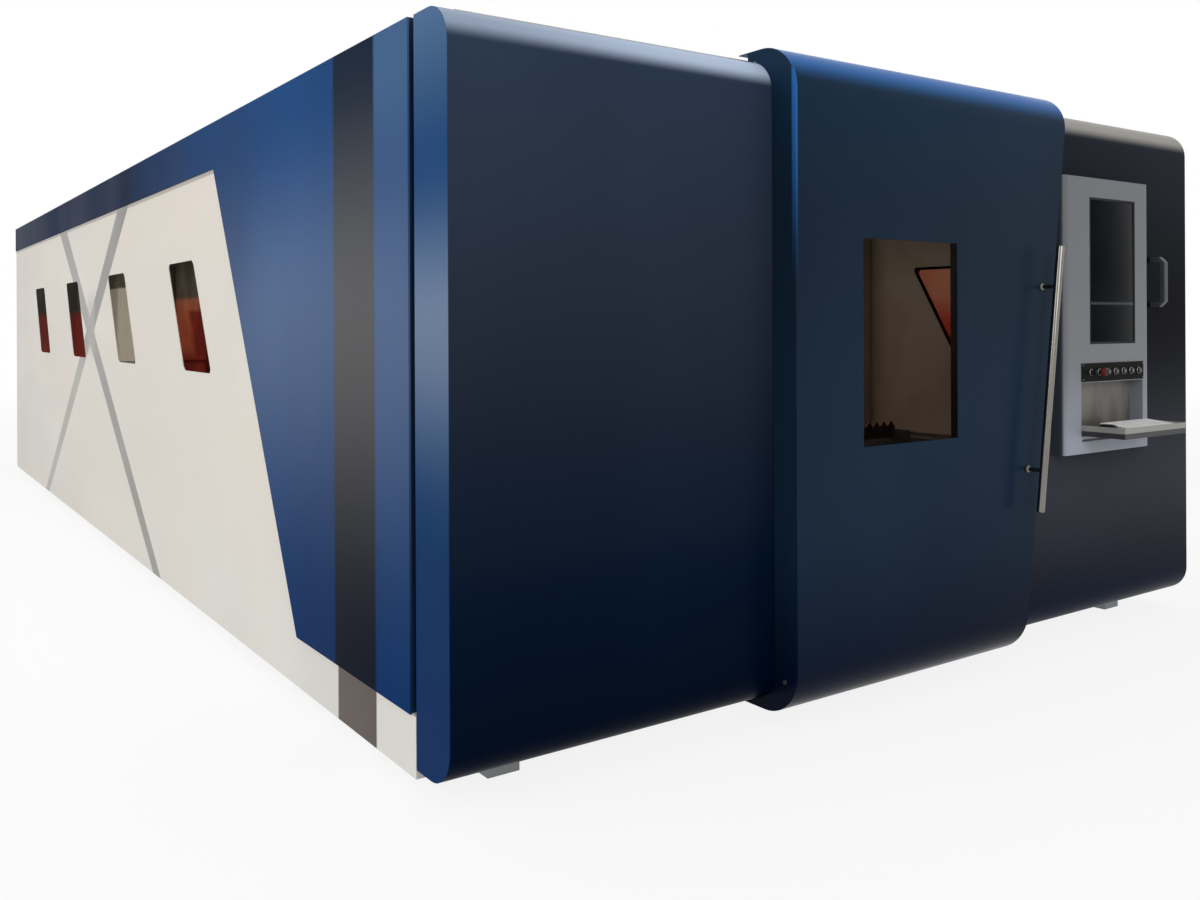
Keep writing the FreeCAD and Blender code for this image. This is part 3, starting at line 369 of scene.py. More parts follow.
def cabinet_coat():
    """Navy of the left cabinet, darker towards the floor as painted shade, with a painted highlight along
    its top edge and its side cheek painted brighter as the lit side.
    """
    # painted shade: the navy ramp darkens towards the floor
    navy = shades((0.0, 0, 6, 26), (0.14, 2, 18, 38), (0.3, 4, 24, 46), (0.6, 44, 50, 62),
                  (0.9, 46, 60, 80), (1.0, 48, 64, 88))
    # painted light: the cheek is a brighter, lit copy of the front's blue, with a painted highlight band
    # at mid-height
    lit_cheek = shades((0.0, 0, 44, 92), (0.28, 0, 46, 94), (0.42, 14, 62, 106), (0.58, 128, 146, 170),
                   (0.7, 28, 72, 120), (0.82, 4, 58, 108), (1.0, 94, 126, 158))
    coat, base = powder_coat("navy_cabinet_coat", navy, sheen=0.015, polish=(0.28, 0.4))
    top = front_high.z
    # painted highlight along the rounded top edge, stronger towards the door
    painted_highlight = coat.both(coat.between(coat.axis["Z"], top - 0.104, top - 0.05),
                      coat.between(coat.axis["Z"], top - 0.022, top - 0.002, 1.0, 0.5),
                      coat.between(coat.axis["X"], front_low.x, front_low.x + 0.98, 0.62, 1.0), 0.9)
    base = coat.mix(painted_highlight, base, paint(196, 212, 236))
    coat.colour(coat.mix(coat.on_side(), base, coat.steps(coat.height(), lit_cheek)))
    return coat.material


def tinted_pane(name, lower, upper, tint_from, tint_to, cloudy, reflecting_stretch=None):
    """Laser-safe pane, of two tints, with pale panes along a stretch, painted as reflections."""
    pane = Finish(name, roughness=0.03)
    up = pane.axis["Z"]
    back = pane.axis["Y"]
    if reflecting_stretch:
        lower = pane.mix(pane.between(back, reflecting_stretch[1], reflecting_stretch[1] + 0.2), lower, scaled(lower, 2.0))
    tint = pane.mix(pane.between(up, tint_from, tint_to), lower, upper)
    if reflecting_stretch:
        pale_head, orange_reflection_foot, orange_reflection_head, orange_line_foot = 1.57, 1.22, 1.46, 1.42
        # painted reflection: the panes along the stretch are pale, with a darker head
        pale = pane.mix(pane.between(up, pale_head - 0.008, pale_head + 0.008),
                        paint(252, 249, 243), paint(122, 112, 102))
        tint = pane.mix(pane.strip(back, *reflecting_stretch, 0.05), tint, pale)
        # painted reflection: an orange patch and a thin orange line across the first pane
        leaning = pane.sum("SUBTRACT", back, pane.both(up, window_lean))
        orange_reflection = pane.both(pane.strip(up, orange_reflection_foot, orange_reflection_head, 0.04),
                          pane.strip(leaning, near_window + 0.24, near_window + 0.5, 0.06))
        across = pane.both(pane.strip(up, orange_line_foot, 1.48, 0.012),
                           pane.strip(leaning, near_window, near_window + 0.5, 0.06))
        tint = pane.mix(pane.both(pane.sum("MAXIMUM", orange_reflection, across), 0.6), tint, paint(186, 100, 74))
    cloud = pane.between(pane.grain(0.25, detail=2.0), 0.45, 0.62)
    pane.colour(pane.mix(cloud, tint, pane.times(tint, cloudy)))
    pane.shader.inputs["Transmission Weight"].default_value = 1.0
    pane.shader.inputs["IOR"].default_value = 1.005
    pane.roughness(pane.between(pane.grain(0.06), 0.3, 0.7, 0.015, 0.05))
    return pane.material


def worked_metal(name, shade, polish, brush=(1, 1, 1), depth=0.00004, coarse=0.004, bareness=1.0):
    """Metal with its working marks; brush stretches them, bareness below 1 is oxidised."""
    metal = Finish(name, metallic=bareness)
    marks = metal.grain(coarse, brush, 3.0, 0.6)
    cloud = metal.grain(0.18, detail=2.0)
    tone = metal.mix(metal.between(marks, 0.3, 0.7), scaled(shade, 0.84), shade)
    metal.colour(metal.mix(metal.between(cloud, 0.35, 0.65, 0.0, 0.3), tone, scaled(shade, 0.72)))
    metal.roughness(metal.between(marks, 0.25, 0.75, *polish))
    metal.relief(marks, depth, 0.5)
    return metal.material


def moulded(name, shade, polish=(0.38, 0.5), sheen=0.08):
    """Moulded plastic or rubber with a fine cast texture."""
    cast = Finish(name)
    speck = cast.grain(0.0012, detail=2.0)
    cloud = cast.grain(0.08, detail=2.0)
    tone = cast.mix(cast.between(cloud, 0.3, 0.7), scaled(shade, 0.88), shade)
    cast.colour(cast.mix(cast.between(speck, 0.4, 0.7, 0.0, 0.18), tone, scaled(shade, 1.3)))
    cast.roughness(cast.between(speck, 0.3, 0.7, *polish))
    cast.specular(sheen)
    cast.relief(speck, 0.00005, 0.4)
    return cast.material


def console_coat():
    """Silver-grey console; the tray's recess darker with painted reflections and a painted shadow,
    painted shade on its left flank and a painted shadow line under the tray.
    """
    grey = shades((0.0, 166, 172, 184), (0.36, 166, 172, 184), (0.5, 112, 113, 115),
                  (1.0, 113, 115, 119))
    coat, base = powder_coat("silver_console_coat", grey, sheen=0.3, polish=(0.36, 0.46), patches=0.05)
    across, back, up = (coat.axis[letter] for letter in "XYZ")
    recess = coat.both(coat.strip(across, tray_low.x + 0.001, tray_high.x - 0.0005, 0.002),
                       coat.strip(up, tray_low.z - 0.001, plate_low.z - 0.0055, 0.002),
                       coat.between(back, console_low.y + 0.0005, console_low.y + 0.003))
    # the recess: a darker grey-brown tone of its own, with painted cloudy reflections
    recess_tone_and_reflections = coat.mix(coat.between(coat.grain(0.09, (1.0, 1.0, 0.3), 3.0), 0.35, 0.65),
                    paint(98, 95, 90), paint(124, 119, 112))
    # painted shadow at the recess's lower left, fading upwards
    painted_shadow_low_left = coat.both(coat.strip(across, tray_low.x + 0.022, tray_low.x + 0.252, 0.03),
                         coat.between(up, tray_low.z + 0.025, tray_low.z + 0.075, 0.7, 0.0))
    recess_tone_and_reflections = coat.mix(painted_shadow_low_left, recess_tone_and_reflections, paint(46, 44, 42))
    base = coat.mix(recess, base, recess_tone_and_reflections)
    # painted shade on the console's left side
    shaded_flank = coat.between(across, console_low.x + 0.001, console_low.x + 0.006, 1.0, 0.0)
    base = coat.mix(shaded_flank, base, paint(66, 72, 80))
    # painted shadow: a dark line under the tray's left part
    tray_shadow_line = coat.both(coat.strip(across, tray_low.x + 0.004, tray_low.x + 0.212, 0.002),
                     coat.strip(up, tray_low.z - 0.025, tray_low.z - 0.015, 0.001))
    coat.colour(coat.mix(tray_shadow_line, base, paint(26, 27, 30)))
    return coat.material


def post_coat():
    """Blue front posts, pale posts behind them, and bare zinc feet under all."""
    blue = shades((0.0, 18, 34, 56), (1.0, 24, 46, 76))
    inner_from = 1.0               # metres behind the front
    coat, base = powder_coat("groove_blue_coat", blue, sheen=0.2)
    inner = coat.between(coat.behind(), inner_from, inner_from + 0.01)
    base = coat.mix(inner, base, paint(212, 206, 196))
    walls_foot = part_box("left_wall_panels")[0].z
    zinc = coat.between(coat.axis["Z"], walls_foot + 0.0005, walls_foot + 0.0015, 1.0, 0.0)
    coat.colour(coat.mix(zinc, base, paint(128, 130, 132)))
    put(coat.tree, coat.shader.inputs["Metallic"], coat.both(zinc, 0.6))
    return coat.material


def tray_coat():
    """Pale keyboard tray with painted shade along its lower edge."""
    pale = paint(158, 156, 151)
    coat, base = powder_coat("tray_grey_coat", [(0.0, pale), (1.0, pale)], sheen=0.25, patches=0.04)
    # painted shade: the tray's lower edge is dark grey
    shade_top = tray_low.z + 0.022
    lower_edge_shade = coat.between(coat.axis["Z"], shade_top - 0.0005, shade_top + 0.0005, 1.0, 0.0)
    coat.colour(coat.mix(lower_edge_shade, base, paint(62, 62, 64)))
    return coat.material


def glass_of_the_screen():
    """Near-black glass with a faint painted reflection line across it."""
    glass = Finish("screen_glass")
    screen_reflection_foot, screen_reflection_head = 1.424, 1.434
    cloud = glass.grain(0.2, detail=2.0)
    dark = glass.mix(glass.between(cloud, 0.3, 0.7), paint(6, 9, 13), paint(14, 18, 22))
    # painted reflection: a faint pale line across the glass
    line = glass.strip(glass.axis["Z"], screen_reflection_foot, screen_reflection_head, 0.004)
    glass.colour(glass.mix(glass.both(line, 0.5), dark, paint(96, 102, 104)))
    glass.roughness(glass.between(cloud, 0.3, 0.7, 0.1, 0.16))
    glass.specular(0.02)
    return glass.material


def dress(finish, *names):
    """Puts a finish on nodes of the frame."""
    for name in names:
        nodes[name].data.materials.clear()
        nodes[name].data.materials.append(finish)
    return finish


dress(livery_coat(), "left_wall_panels", "right_wall_panels")
dress(plain_coat("white_panel_coat", paint(216, 212, 202), sheen=0.45, patches=0.025),
      "rear_wall", "rear_shutter", "roof_panels")
dress(blue_side_coat(), "left_blue_panel", "right_blue_panel")
dress(cabinet_coat(), "left_cabinet")
# painted shade: the door's navy darkens towards its foot; a painted highlight runs up the rounded top and
# down the left corner
door_navy_painted_shade = shades((0.0, 0, 12, 36), (0.1, 0, 12, 38), (0.3, 28, 50, 70), (0.7, 22, 34, 48),
                   (0.88, 22, 44, 64), (1.0, 22, 48, 72))
dress(painted_highlight_coat("navy_door_coat", door_navy_painted_shade, paint(46, 112, 186), 2.15, 2.235,
                    corner=door_low, sheen=0.04, polish=(0.22, 0.32)), "door_panel")
# painted light on the right cabinet: a bluish painted reflection at its foot, paler towards the top, and
# a painted highlight along the rounded top edge
near_black_painted_light = shades((0.0, 10, 26, 56), (0.12, 14, 20, 32), (0.28, 66, 70, 78), (0.48, 0, 0, 2),
                    (0.68, 0, 0, 4), (0.9, 30, 38, 48), (1.0, 40, 44, 50))
dress(painted_highlight_coat("dark_cabinet_coat", near_black_painted_light, paint(176, 173, 166), 2.135, 2.185,
                    sheen=0.02, polish=(0.3, 0.42)), "right_cabinet")
dress(plain_coat("navy_surround_coat", paint(20, 36, 58), foot=0.85, sheen=0.15),
      "door_sill", "door_header")
dress(post_coat(), "enclosure_posts")
dress(console_coat(), "console_housing")
dress(plain_coat("frame_grey_coat", paint(96, 101, 106), sheen=0.3),
      "roof_frame_tubes", "enclosure_ties", "door_frame", "bed_beams", "bed_legs",
      "bed_cross_members", "pallet_side_rails", "pallet_cross_tubes", "gantry_saddles")
dress(tray_coat(), "keyboard_tray")
dress(tinted_pane("amber_window", paint(124, 42, 34), paint(88, 80, 76), tint_from=1.4,
                  tint_to=1.47, cloudy=(1.35, 1.7, 1.5), reflecting_stretch=second_window), "left_windows")
dress(tinted_pane("orange_window", paint(168, 62, 48), paint(174, 116, 92), tint_from=1.3,
                  tint_to=1.55, cloudy=(1.0, 0.8, 0.8)), "right_windows")
dress(tinted_pane("bronze_door_window", paint(126, 114, 108), paint(146, 140, 134),
                  tint_from=1.1, tint_to=1.6, cloudy=(0.9, 0.86, 0.84)), "door_window")
screen_glass = glass_of_the_screen()
satin_steel = dress(
    worked_metal("satin_steel", paint(132, 128, 122), (0.14, 0.2), brush=(1, 1, 0.02),
                 depth=0.00001, coarse=0.0015), "door_handle")
bright_steel = dress(worked_metal("bright_steel", paint(126, 125, 122), (0.24, 0.36)),
                     "tray_hinge_pins", "button_collars")
button_steel = dress(worked_metal("button_steel", paint(104, 103, 101), (0.34, 0.46)),
                     *[f"push_button_{number}" for number in range(1, 6)])
ground_steel = dress(
    worked_metal("ground_steel", paint(178, 178, 176), (0.28, 0.42), brush=(1, 0.05, 1)),
    "door_top_rail", "door_bottom_rail", "door_guide_blocks", "gantry_runners",
    "gantry_tracks", "travel_tracks", "carriage_runners")
scorched_steel = dress(
    worked_metal("scorched_steel", paint(162, 140, 120), (0.42, 0.62), brush=(1, 1, 0.4),
                 depth=0.0002, coarse=0.012, bareness=0.3), "support_slats", "scrap_trough")
galvanised = dress(
    worked_metal("galvanised_steel", paint(158, 160, 162), (0.38, 0.55), coarse=0.02),
    "levelling_feet", "fume_collar", "shutter_guides")
dress(worked_metal("milled_aluminium", paint(186, 188, 191), (0.28, 0.36), brush=(0.02, 1, 1),
                   depth=0.00001, coarse=0.002),
      "gantry_beam", "carriage_plate", "head_slide", "cutting_head", "shutter_cylinder")
black_moulding = dress(moulded("black_moulding", paint(33, 34, 36)), "console_screen", "selector_knob")
dress(moulded("dark_button_plate", paint(26, 26, 25), (0.34, 0.44), sheen=0.02), "button_plate")
red_moulding = dress(moulded("red_stop_cap", paint(84, 34, 31), (0.36, 0.46), sheen=0.06),
                     "emergency_stop")
white_keys = dress(moulded("white_key_caps", paint(238, 238, 236), (0.34, 0.44), sheen=0.3), "keyboard")
dress(moulded("grab_handle_grey", paint(66, 70, 76), (0.26, 0.36), sheen=0.3), "grab_handle")
black_rubber = moulded("black_rubber", paint(24, 24, 25), (0.6, 0.75), sheen=0.25)
drive_grey = dress(moulded("drive_housing_grey", paint(58, 60, 64), (0.4, 0.5)), "head_lift_drive")


# -------- shaping

def bring_in(thing):
    bpy.context.collection.objects.link(thing)


def leave_edit_mode():
    bpy.ops.object.mode_set(mode="OBJECT")


def start_clean():
    if bpy.context.object and bpy.context.object.mode != "OBJECT":
        leave_edit_mode()
    bpy.ops.object.select_all(action="DESELECT")


def block(name, low, high):
    """A block between two corners."""
    start_clean()
    low, high = Vector(low), Vector(high)
    bpy.ops.mesh.primitive_cube_add(size=1, location=(low + high) / 2)
    piece = bpy.context.object
    piece.name = name
    piece.scale = high - low
    bpy.ops.object.transform_apply()
    return piece


def pick(piece, test=lambda middle, way: True, kind="FACE"):
    """Edit mode, faces or edges selected by their middle and way (normal or direction)."""
    start_clean()
    piece.select_set(True)
    bpy.context.view_layer.objects.active = piece
    bpy.ops.object.mode_set(mode="EDIT")
    bpy.ops.mesh.select_mode(type=kind)
    bpy.ops.mesh.select_all(action="DESELECT")
    leave_edit_mode()
    mesh = piece.data
    if kind == "FACE":
        for face in mesh.polygons:
            face.select = bool(test(face.center, face.normal))
    else:
        for edge in mesh.edges:
            ends = [mesh.vertices[i].co for i in edge.vertices]
            edge.select = bool(test((ends[0] + ends[1]) / 2, (ends[1] - ends[0]).normalized()))
    bpy.ops.object.mode_set(mode="EDIT")


def facing_up(middle, way):
    return way.z > 0.9


def running_up(middle, way):
    return abs(way.z) > 0.9


def in_plane(letter, place):
    """Edges that lie in the plane at that place on an axis."""
    return lambda middle, way: abs(middle["XYZ".index(letter)] - place) < 0.0002


def push(by):
    bpy.ops.mesh.extrude_region_move(TRANSFORM_OT_translate={"value": by})


def soften(piece, width, rounds, test):
    """Rounds the picked edges."""
    pick(piece, test, "EDGE")
    bpy.ops.mesh.bevel(offset=width, segments=rounds, affect="EDGES")
    leave_edit_mode()


def turned(name, foot, along, steps, sides=28):
    """A disc at foot, drawn out along an axis in (distance, radius) steps."""
    start_clean()
    foot, along = Vector(foot), Vector(along).normalized()
    bpy.ops.mesh.primitive_circle_add(vertices=sides, radius=steps[0][1], fill_type="NGON",
                                      location=foot + along * steps[0][0],
                                      rotation=along.to_track_quat("Z", "Y").to_euler())
    piece = bpy.context.object
    piece.name = name
    bpy.ops.object.transform_apply()
    pick(piece)
    for (d0, r0), (d1, r1) in zip(steps, steps[1:]):
        push(along * (d1 - d0))
        centre = foot + along * d1
        bpy.ops.transform.resize(value=(r1 / r0,) * 3, center_override=centre)
    leave_edit_mode()
    return piece


def joined(name, parts):
    start_clean()
    for part in parts:
        part.select_set(True)
    bpy.context.view_layer.objects.active = parts[0]
    if len(parts) > 1:
        bpy.ops.object.join()
    parts[0].name = name
    return parts[0]


def copies(piece, moves):
    """The piece and its copies at the given offsets."""
    out = [piece]
    for move in moves:
        twin = piece.copy()
        twin.data = piece.data.copy()
        twin.data.transform(Matrix.Translation(Vector(move)))
        bring_in(twin)
        out.append(twin)
    return out


def fitted(piece, finish, body, stands_for=(), angle=32):
    """Ends the shaping: outward faces, smooth shading, finish, and the body it rides on."""
    pick(piece)
    bpy.ops.mesh.normals_make_consistent(inside=False)
    leave_edit_mode()
    bpy.ops.object.shade_smooth_by_angle(angle=radians(angle))
    piece.data.materials.clear()
    piece.data.materials.append(finish)
    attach(piece, body)
    if stands_for:
        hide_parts(*stands_for)


def cap_screw(name, foot, along, radius, sides=12):
    """Socket screw with a rounded head; its steps are shares of the head's radius."""
    steps = [(-0.5, 0.55), (0, 0.55), (0, 1), (0.45, 1), (0.7, 0.82), (0.75, 0.5), (0.35, 0.46)]
    return turned(name, foot, along, [(d * radius, r * radius) for d, r in steps], sides)


def two_rows(across, pitch, count):
    """Offsets from the first place of two like rows to all their other places."""
    across, pitch = Vector(across), Vector(pitch)
    return [pitch * i + across * side for side in (0, 1) for i in range(count) if side or i]


def screws(name, foot, along, radius, moves, sides=12):
    """Like screws on the machine, as one piece."""
    first = cap_screw(name, foot, along, radius, sides)
    fitted(joined(name, copies(first, moves)), bright_steel, "machine")


# -------- console pieces

def monitor():
    """Upright screen: dark bezel with the glass set back in it."""
    bezel_width, bezel_depth, bezel_lip, chamfer = 0.009, 0.003, 0.0015, 0.0006
    glass_gap, glass_set_back, sunk = 0.0004, 0.0012, 0.0001
    low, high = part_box("console_screen")
    bezel = block("screen_bezel", low, high)
    pick(bezel, lambda middle, way: way.y < -0.9)
    bpy.ops.mesh.inset(thickness=bezel_width, depth=0)
    push((0, bezel_depth, 0))
    bpy.ops.mesh.inset(thickness=bezel_lip, depth=0)
    leave_edit_mode()
    soften(bezel, chamfer, 2, in_plane("Y", low.y))
    fitted(bezel, black_moulding, "machine", ["console_screen"])
    inset = bezel_width + glass_gap
    face = low.y + glass_set_back
    glass = block("screen_glass", (low.x + inset, face, low.z + inset),
                  (high.x - inset, low.y + bezel_depth + sunk, high.z - inset))
    soften(glass, 0.0005, 2, in_plane("Y", face))
    fitted(glass, screen_glass, "machine")


def keyboard():
    """Keyboard that rises to the rear: a rounded case with key caps on its slope."""
    low, high = keys_low, keys_high
    tip_top = low.z + 0.014
    slope = (high.z - tip_top) / (high.y - low.y)
    case_sunk = 0.0022             # case's top below the height where the keys end
    rows, columns, edge = 6, 18, 0.007
    gap, key_rise, key_sunk = 0.002, 0.0036, 0.0016
    step_x = (high.x - low.x - 2 * edge) / columns
    step_y = (high.y - low.y - 2 * edge) / rows
    rear_top = in_plane("Y", high.y)

    def case_top(y):
        return tip_top - case_sunk + slope * (y - low.y)

    def key(column, row, wide=1.0):
        y = low.y + edge + row * step_y
        foot = Vector((low.x + edge + column * step_x + gap / 2, y + gap / 2, case_top(y) - key_sunk))
        cap = block("key", foot, foot + Vector((wide * step_x - gap, step_y - gap, key_rise)))
        pick(cap, facing_up)
        bpy.ops.transform.resize(value=(1 - 0.16 / wide, 0.8, 1))
        leave_edit_mode()
        return cap

    case = block("keyboard_case", low, (high.x, high.y, tip_top - case_sunk))
    pick(case, lambda middle, way: abs(way.x) > 0.9 and middle.z > low.z + gap
         and rear_top(middle, way), "EDGE")
    bpy.ops.transform.translate(value=(0, 0, high.z - tip_top))
    leave_edit_mode()
    soften(case, 0.006, 3, running_up)
    pick(case, facing_up)
    bpy.ops.mesh.inset(thickness=0.003, depth=0)
    push((0, 0, -0.0012))
    leave_edit_mode()

    single = key(0, 1)
    keys = [key(column, 0, wide) for column, wide in
            ((0, 1.5), (1.5, 1.25), (2.75, 1.25), (4, 6), (10, 1.25), (11.25, 1.25), (12.5, 1.5))]
    spots = [(column, 0) for column in range(14, columns)]
    spots += [(column, row) for row in range(1, rows) for column in range(columns)
              if (column, row) != (0, 1)]
    keys += copies(single, [(column * step_x, (row - 1) * step_y, slope * (row - 1) * step_y)
                            for column, row in spots])
    whole = joined("keyboard_case", [case] + keys)
    fitted(whole, white_keys, "tray", ["keyboard"])


def mouse_and_mat():
    """Dark mat and flat pointing mouse beside the keyboard."""
    side_gap, end_gap, mat_thick = 0.008, 0.004, 0.002
    half_width, half_length, mouse_height = 0.028, 0.048, 0.0255
    low, high = keys_low, keys_high
    mat_top = low.z + mat_thick
    mat = block("tray_mat", (tray_low.x + side_gap, low.y + end_gap, low.z),
                (low.x - side_gap, high.y - end_gap, mat_top))
    soften(mat, 0.008, 3, running_up)
    soften(mat, 0.0006, 2, in_plane("Z", mat_top))
    fitted(mat, black_rubber, "tray")
    x, y = (tray_low.x + low.x) / 2, (low.y + high.y) / 2 + 0.01
    mouse = block("pointing_mouse", (x - half_width, y - half_length, mat_top),
                  (x + half_width, y + half_length, mat_top + mouse_height))
    pick(mouse, facing_up)
    bpy.ops.transform.resize(value=(0.72, 0.62, 1))
    leave_edit_mode()
    soften(mouse, 0.016, 4, lambda middle, way: abs(way.z) > 0.5)
    soften(mouse, 0.008, 4, in_plane("Z", mat_top + mouse_height))
    fitted(mouse, black_moulding, "tray", angle=60)


collar_bore = 0.0118
control_sides = 36
out_of_front = Vector((0, -1, 0))


def collar(centre):
    """Ring with a bevelled face, open in the middle."""
    ring = turned("collar", centre, out_of_front, [
        (0, collar_bore), (0, 0.015), (0.003, 0.015), (0.0044, 0.014), (0.005, 0.0128),
        (0.0042, collar_bore)], control_sides)

    def off_centre(middle):
        return (middle - Vector((centre.x, middle.y, centre.z))).length

    pick(ring, lambda middle, way: abs(way.y) > 0.9 and off_centre(middle) < 0.001)
    bpy.ops.mesh.delete(type="FACE")
    pick(ring, lambda middle, way: off_centre(middle) < collar_bore + 0.0001, "EDGE")
    bpy.ops.mesh.bridge_edge_loops()
    leave_edit_mode()
    return ring


def stop_steps(reach):
    """Mushroom cap on its stem."""
    stem = 0.0102
    return [(0, stem), (reach - 0.015, stem), (reach - 0.014, 0.0185),
            (reach - 0.0125, 0.0199), (reach - 0.0085, 0.0199), (reach - 0.0055, 0.019),
            (reach - 0.0028, 0.016), (reach - 0.0008, 0.01), (reach, 0.004)]


def selector_steps(reach):
    """Round foot of the selector's knob."""
    return [(0, 0.0104), (reach - 0.014, 0.0104), (reach - 0.0125, 0.0092), (reach - 0.012, 0.0092)]


def button_steps(reach):
    """Push button with a rim round its slightly hollow face."""
    return [(0, 0.0105), (reach - 0.001, 0.0105), (reach, 0.0096), (reach, 0.0078),
            (reach - 0.0008, 0.0074), (reach - 0.0006, 0.004), (reach - 0.0002, 0.0012)]


def round_controls():
    """Collars, push buttons, the mushroom stop and the selector."""
    controls = [("selector_knob", "selector", "dark_plastic", selector_steps, black_moulding),
                ("emergency_stop", "stop_button", "red_plastic", stop_steps, red_moulding)]
    controls += [(f"push_button_{number}", f"button_{number}", "button_metal", button_steps,
                  button_steel) for number in range(1, 6)]
    low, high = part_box("button_collars")
    level = (low.z + high.z) / 2
    rings = []
    for name, *_ in controls:
        a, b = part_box(name)
        rings.append(collar(Vector(((a.x + b.x) / 2, high.y, level))))
    fitted(joined("control_collars", rings), bright_steel, "machine", ["button_collars"])
    for name, body, slot_name, steps, finish in controls:
        a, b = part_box(name)
        back = Vector(((a.x + b.x) / 2, b.y, level))
        parts = [turned(name + "_turned", back, out_of_front, steps(b.y - a.y), control_sides)]
        if name == "selector_knob":
            half_width, margin = 0.0038, 0.0004
            bar = block("finger_bar", (back.x - half_width, a.y, a.z + margin),
                        (back.x + half_width, a.y + 0.0125, b.z - margin))
            soften(bar, 0.0015, 3, in_plane("Y", a.y))
            parts.append(bar)
        fitted(joined(name + "_turned", parts), finish, body, [name])


def plate_screws():
    """A screw in each corner of the button plate."""
    inset, radius = 0.008, 0.0035
    low, high = plate_low, plate_high
    across, up = high.x - low.x - 2 * inset, high.z - low.z - 2 * inset
    screws("plate_screws", (low.x + inset, low.y, low.z + inset), out_of_front, radius,
           two_rows((0, 0, up), (across, 0, 0), 2), sides=14)


# -------- door and window pieces

def handle_fittings():
    """Rosettes where the handle's posts meet the door, and domed caps on the tube's ends."""
    low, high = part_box("door_handle")
    lean = Vector((sin(door_lean), 0, cos(door_lean)))
    tube_foot = low.z + handle_radius * lean.x
    tube_head = high.z - handle_radius * lean.x

    def on_line(y, z):
        """A place at that height on the leaning handle's middle line."""
        return Vector((door_high.x - tan(door_lean) * (door_high.z - z) - handle_inset, y, z))

    rosettes, seats, caps = [], [], []
    for z in (tube_foot + handle_post_from_end, tube_head - handle_post_from_end):
        foot = on_line(door_low.y, z)
        seats.append(turned("handle_seats", foot, out_of_front, [
            (0, 0.017), (0.0016, 0.017), (0.0024, 0.0158)], 32))
        rosettes.append(turned("handle_rosettes", foot, out_of_front, [
            (0.0022, 0.0135), (0.005, 0.0135), (0.0064, 0.0125), (0.007, 0.0105),
            (0.01, 0.009)], 32))
    fitted(joined("handle_seats", seats), black_rubber, "door")
    for z, way in ((tube_foot, -1), (tube_head, 1)):
        end = on_line(low.y + handle_radius, z) - lean * way * 0.004
        caps.append(turned("handle_caps", end, lean * way, [
            (0, 0.0148), (0.0042, 0.0148), (0.0062, 0.013), (0.0068, 0.009)], 32))
    fitted(joined("handle_fittings", rosettes + caps), satin_steel, "door")


def door_bolt():
    """Bolt low on the door's left side plate."""
    before_front, up, radius = 0.052, 0.172, 0.008
    place = (door_low.x, front_face - before_front, up)
    bolt = cap_screw("door_bolt", place, (-1, 0, 0), radius, sides=18)
    fitted(bolt, drive_grey, "door")


def window_seals():
    """Black rubber strips that seat the side panes on the wall's sheet; they show from inside."""
    strip_width, clear, thick = 0.0135, 0.00003, 0.00022
    for side, way in (("left", -1), ("right", 1)):
        start_clean()
        pane = nodes[side + "_windows"]
        seal = pane.copy()
        seal.data = pane.data.copy()
        seal.parent = None
        seal.matrix_world = Matrix.Identity(4)
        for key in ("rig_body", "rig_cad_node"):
            if key in seal:
                del seal[key]
        seal.name = side + "_window_seals"
        bring_in(seal)
        out = Vector((way, 0, 0))
        pick(seal)
        bpy.ops.mesh.remove_doubles(threshold=0.00002)
        bpy.ops.mesh.dissolve_limited(angle_limit=radians(1))
        pick(seal, lambda middle, normal: normal.dot(out) < 0.9)
        bpy.ops.mesh.delete(type="FACE")
        pick(seal)
        bpy.ops.mesh.inset(thickness=strip_width, depth=0)
        bpy.ops.mesh.delete(type="FACE")
        pick(seal)
        bpy.ops.transform.translate(value=out * clear)
        push(out * thick)
        leave_edit_mode()
        fitted(seal, black_rubber, "machine")


# -------- bed and pallet pieces

def toothed_slats():
    """The pallet's slats with their fine saw teeth."""
    count, thick, teeth, tooth_depth = 28, 0.005, 40, 0.028
    low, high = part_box("support_slats")
    pitch = (high.y - low.y - thick) / (count - 1)
    step = (high.x - low.x) / (2 * teeth)
    start_clean()
    bpy.ops.mesh.primitive_grid_add(x_subdivisions=2 * teeth, y_subdivisions=1, size=1,
                                    location=((low.x + high.x) / 2, low.y, (low.z + high.z) / 2),
                                    rotation=(radians(90), 0, 0))
    slat = bpy.context.object
    slat.name = "toothed_slats"
    slat.scale = (high.x - low.x, high.z - low.z, 1)
    bpy.ops.object.transform_apply()
    for point in slat.data.vertices:
        point.select = (point.co.z > high.z - 0.001 and round((point.co.x - low.x) / step) % 2 == 0)
    for part in [*slat.data.polygons, *slat.data.edges]:
        part.select = False
    bpy.ops.object.mode_set(mode="EDIT")
    bpy.ops.mesh.select_mode(type="VERT")
    bpy.ops.transform.translate(value=(0, 0, -tooth_depth))
    bpy.ops.mesh.select_all(action="SELECT")
    push((0, thick, 0))
    leave_edit_mode()
    whole = joined("toothed_slats", copies(slat, [(0, i * pitch, 0) for i in range(1, count)]))
    fitted(whole, scorched_steel, "machine", ["support_slats"])


def foot_nuts():
    """Lock nuts on the levelling feet's studs."""
    pad_half, pad_height, per_side = 0.06, 0.02, 5
    low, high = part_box("levelling_feet")
    x = high.x - pad_half
    pitch = (high.y - low.y - 2 * pad_half) / (per_side - 1)
    nut = turned("foot_nuts", (x, low.y + pad_half, low.z + pad_height), (0, 0, 1), [
        (0, 0.034), (0.003, 0.034), (0.003, 0.0275), (0.018, 0.0275), (0.0195, 0.025)], 6)
    places = two_rows((-2 * x, 0, 0), (0, pitch, 0), per_side)
    fitted(joined("foot_nuts", copies(nut, places)), galvanised, "machine", angle=20)


# -------- rear and roof pieces

panel_screw = 0.008                # radius of a panel screw's head
panel_margin = 0.03                # its centre from the panel's edge


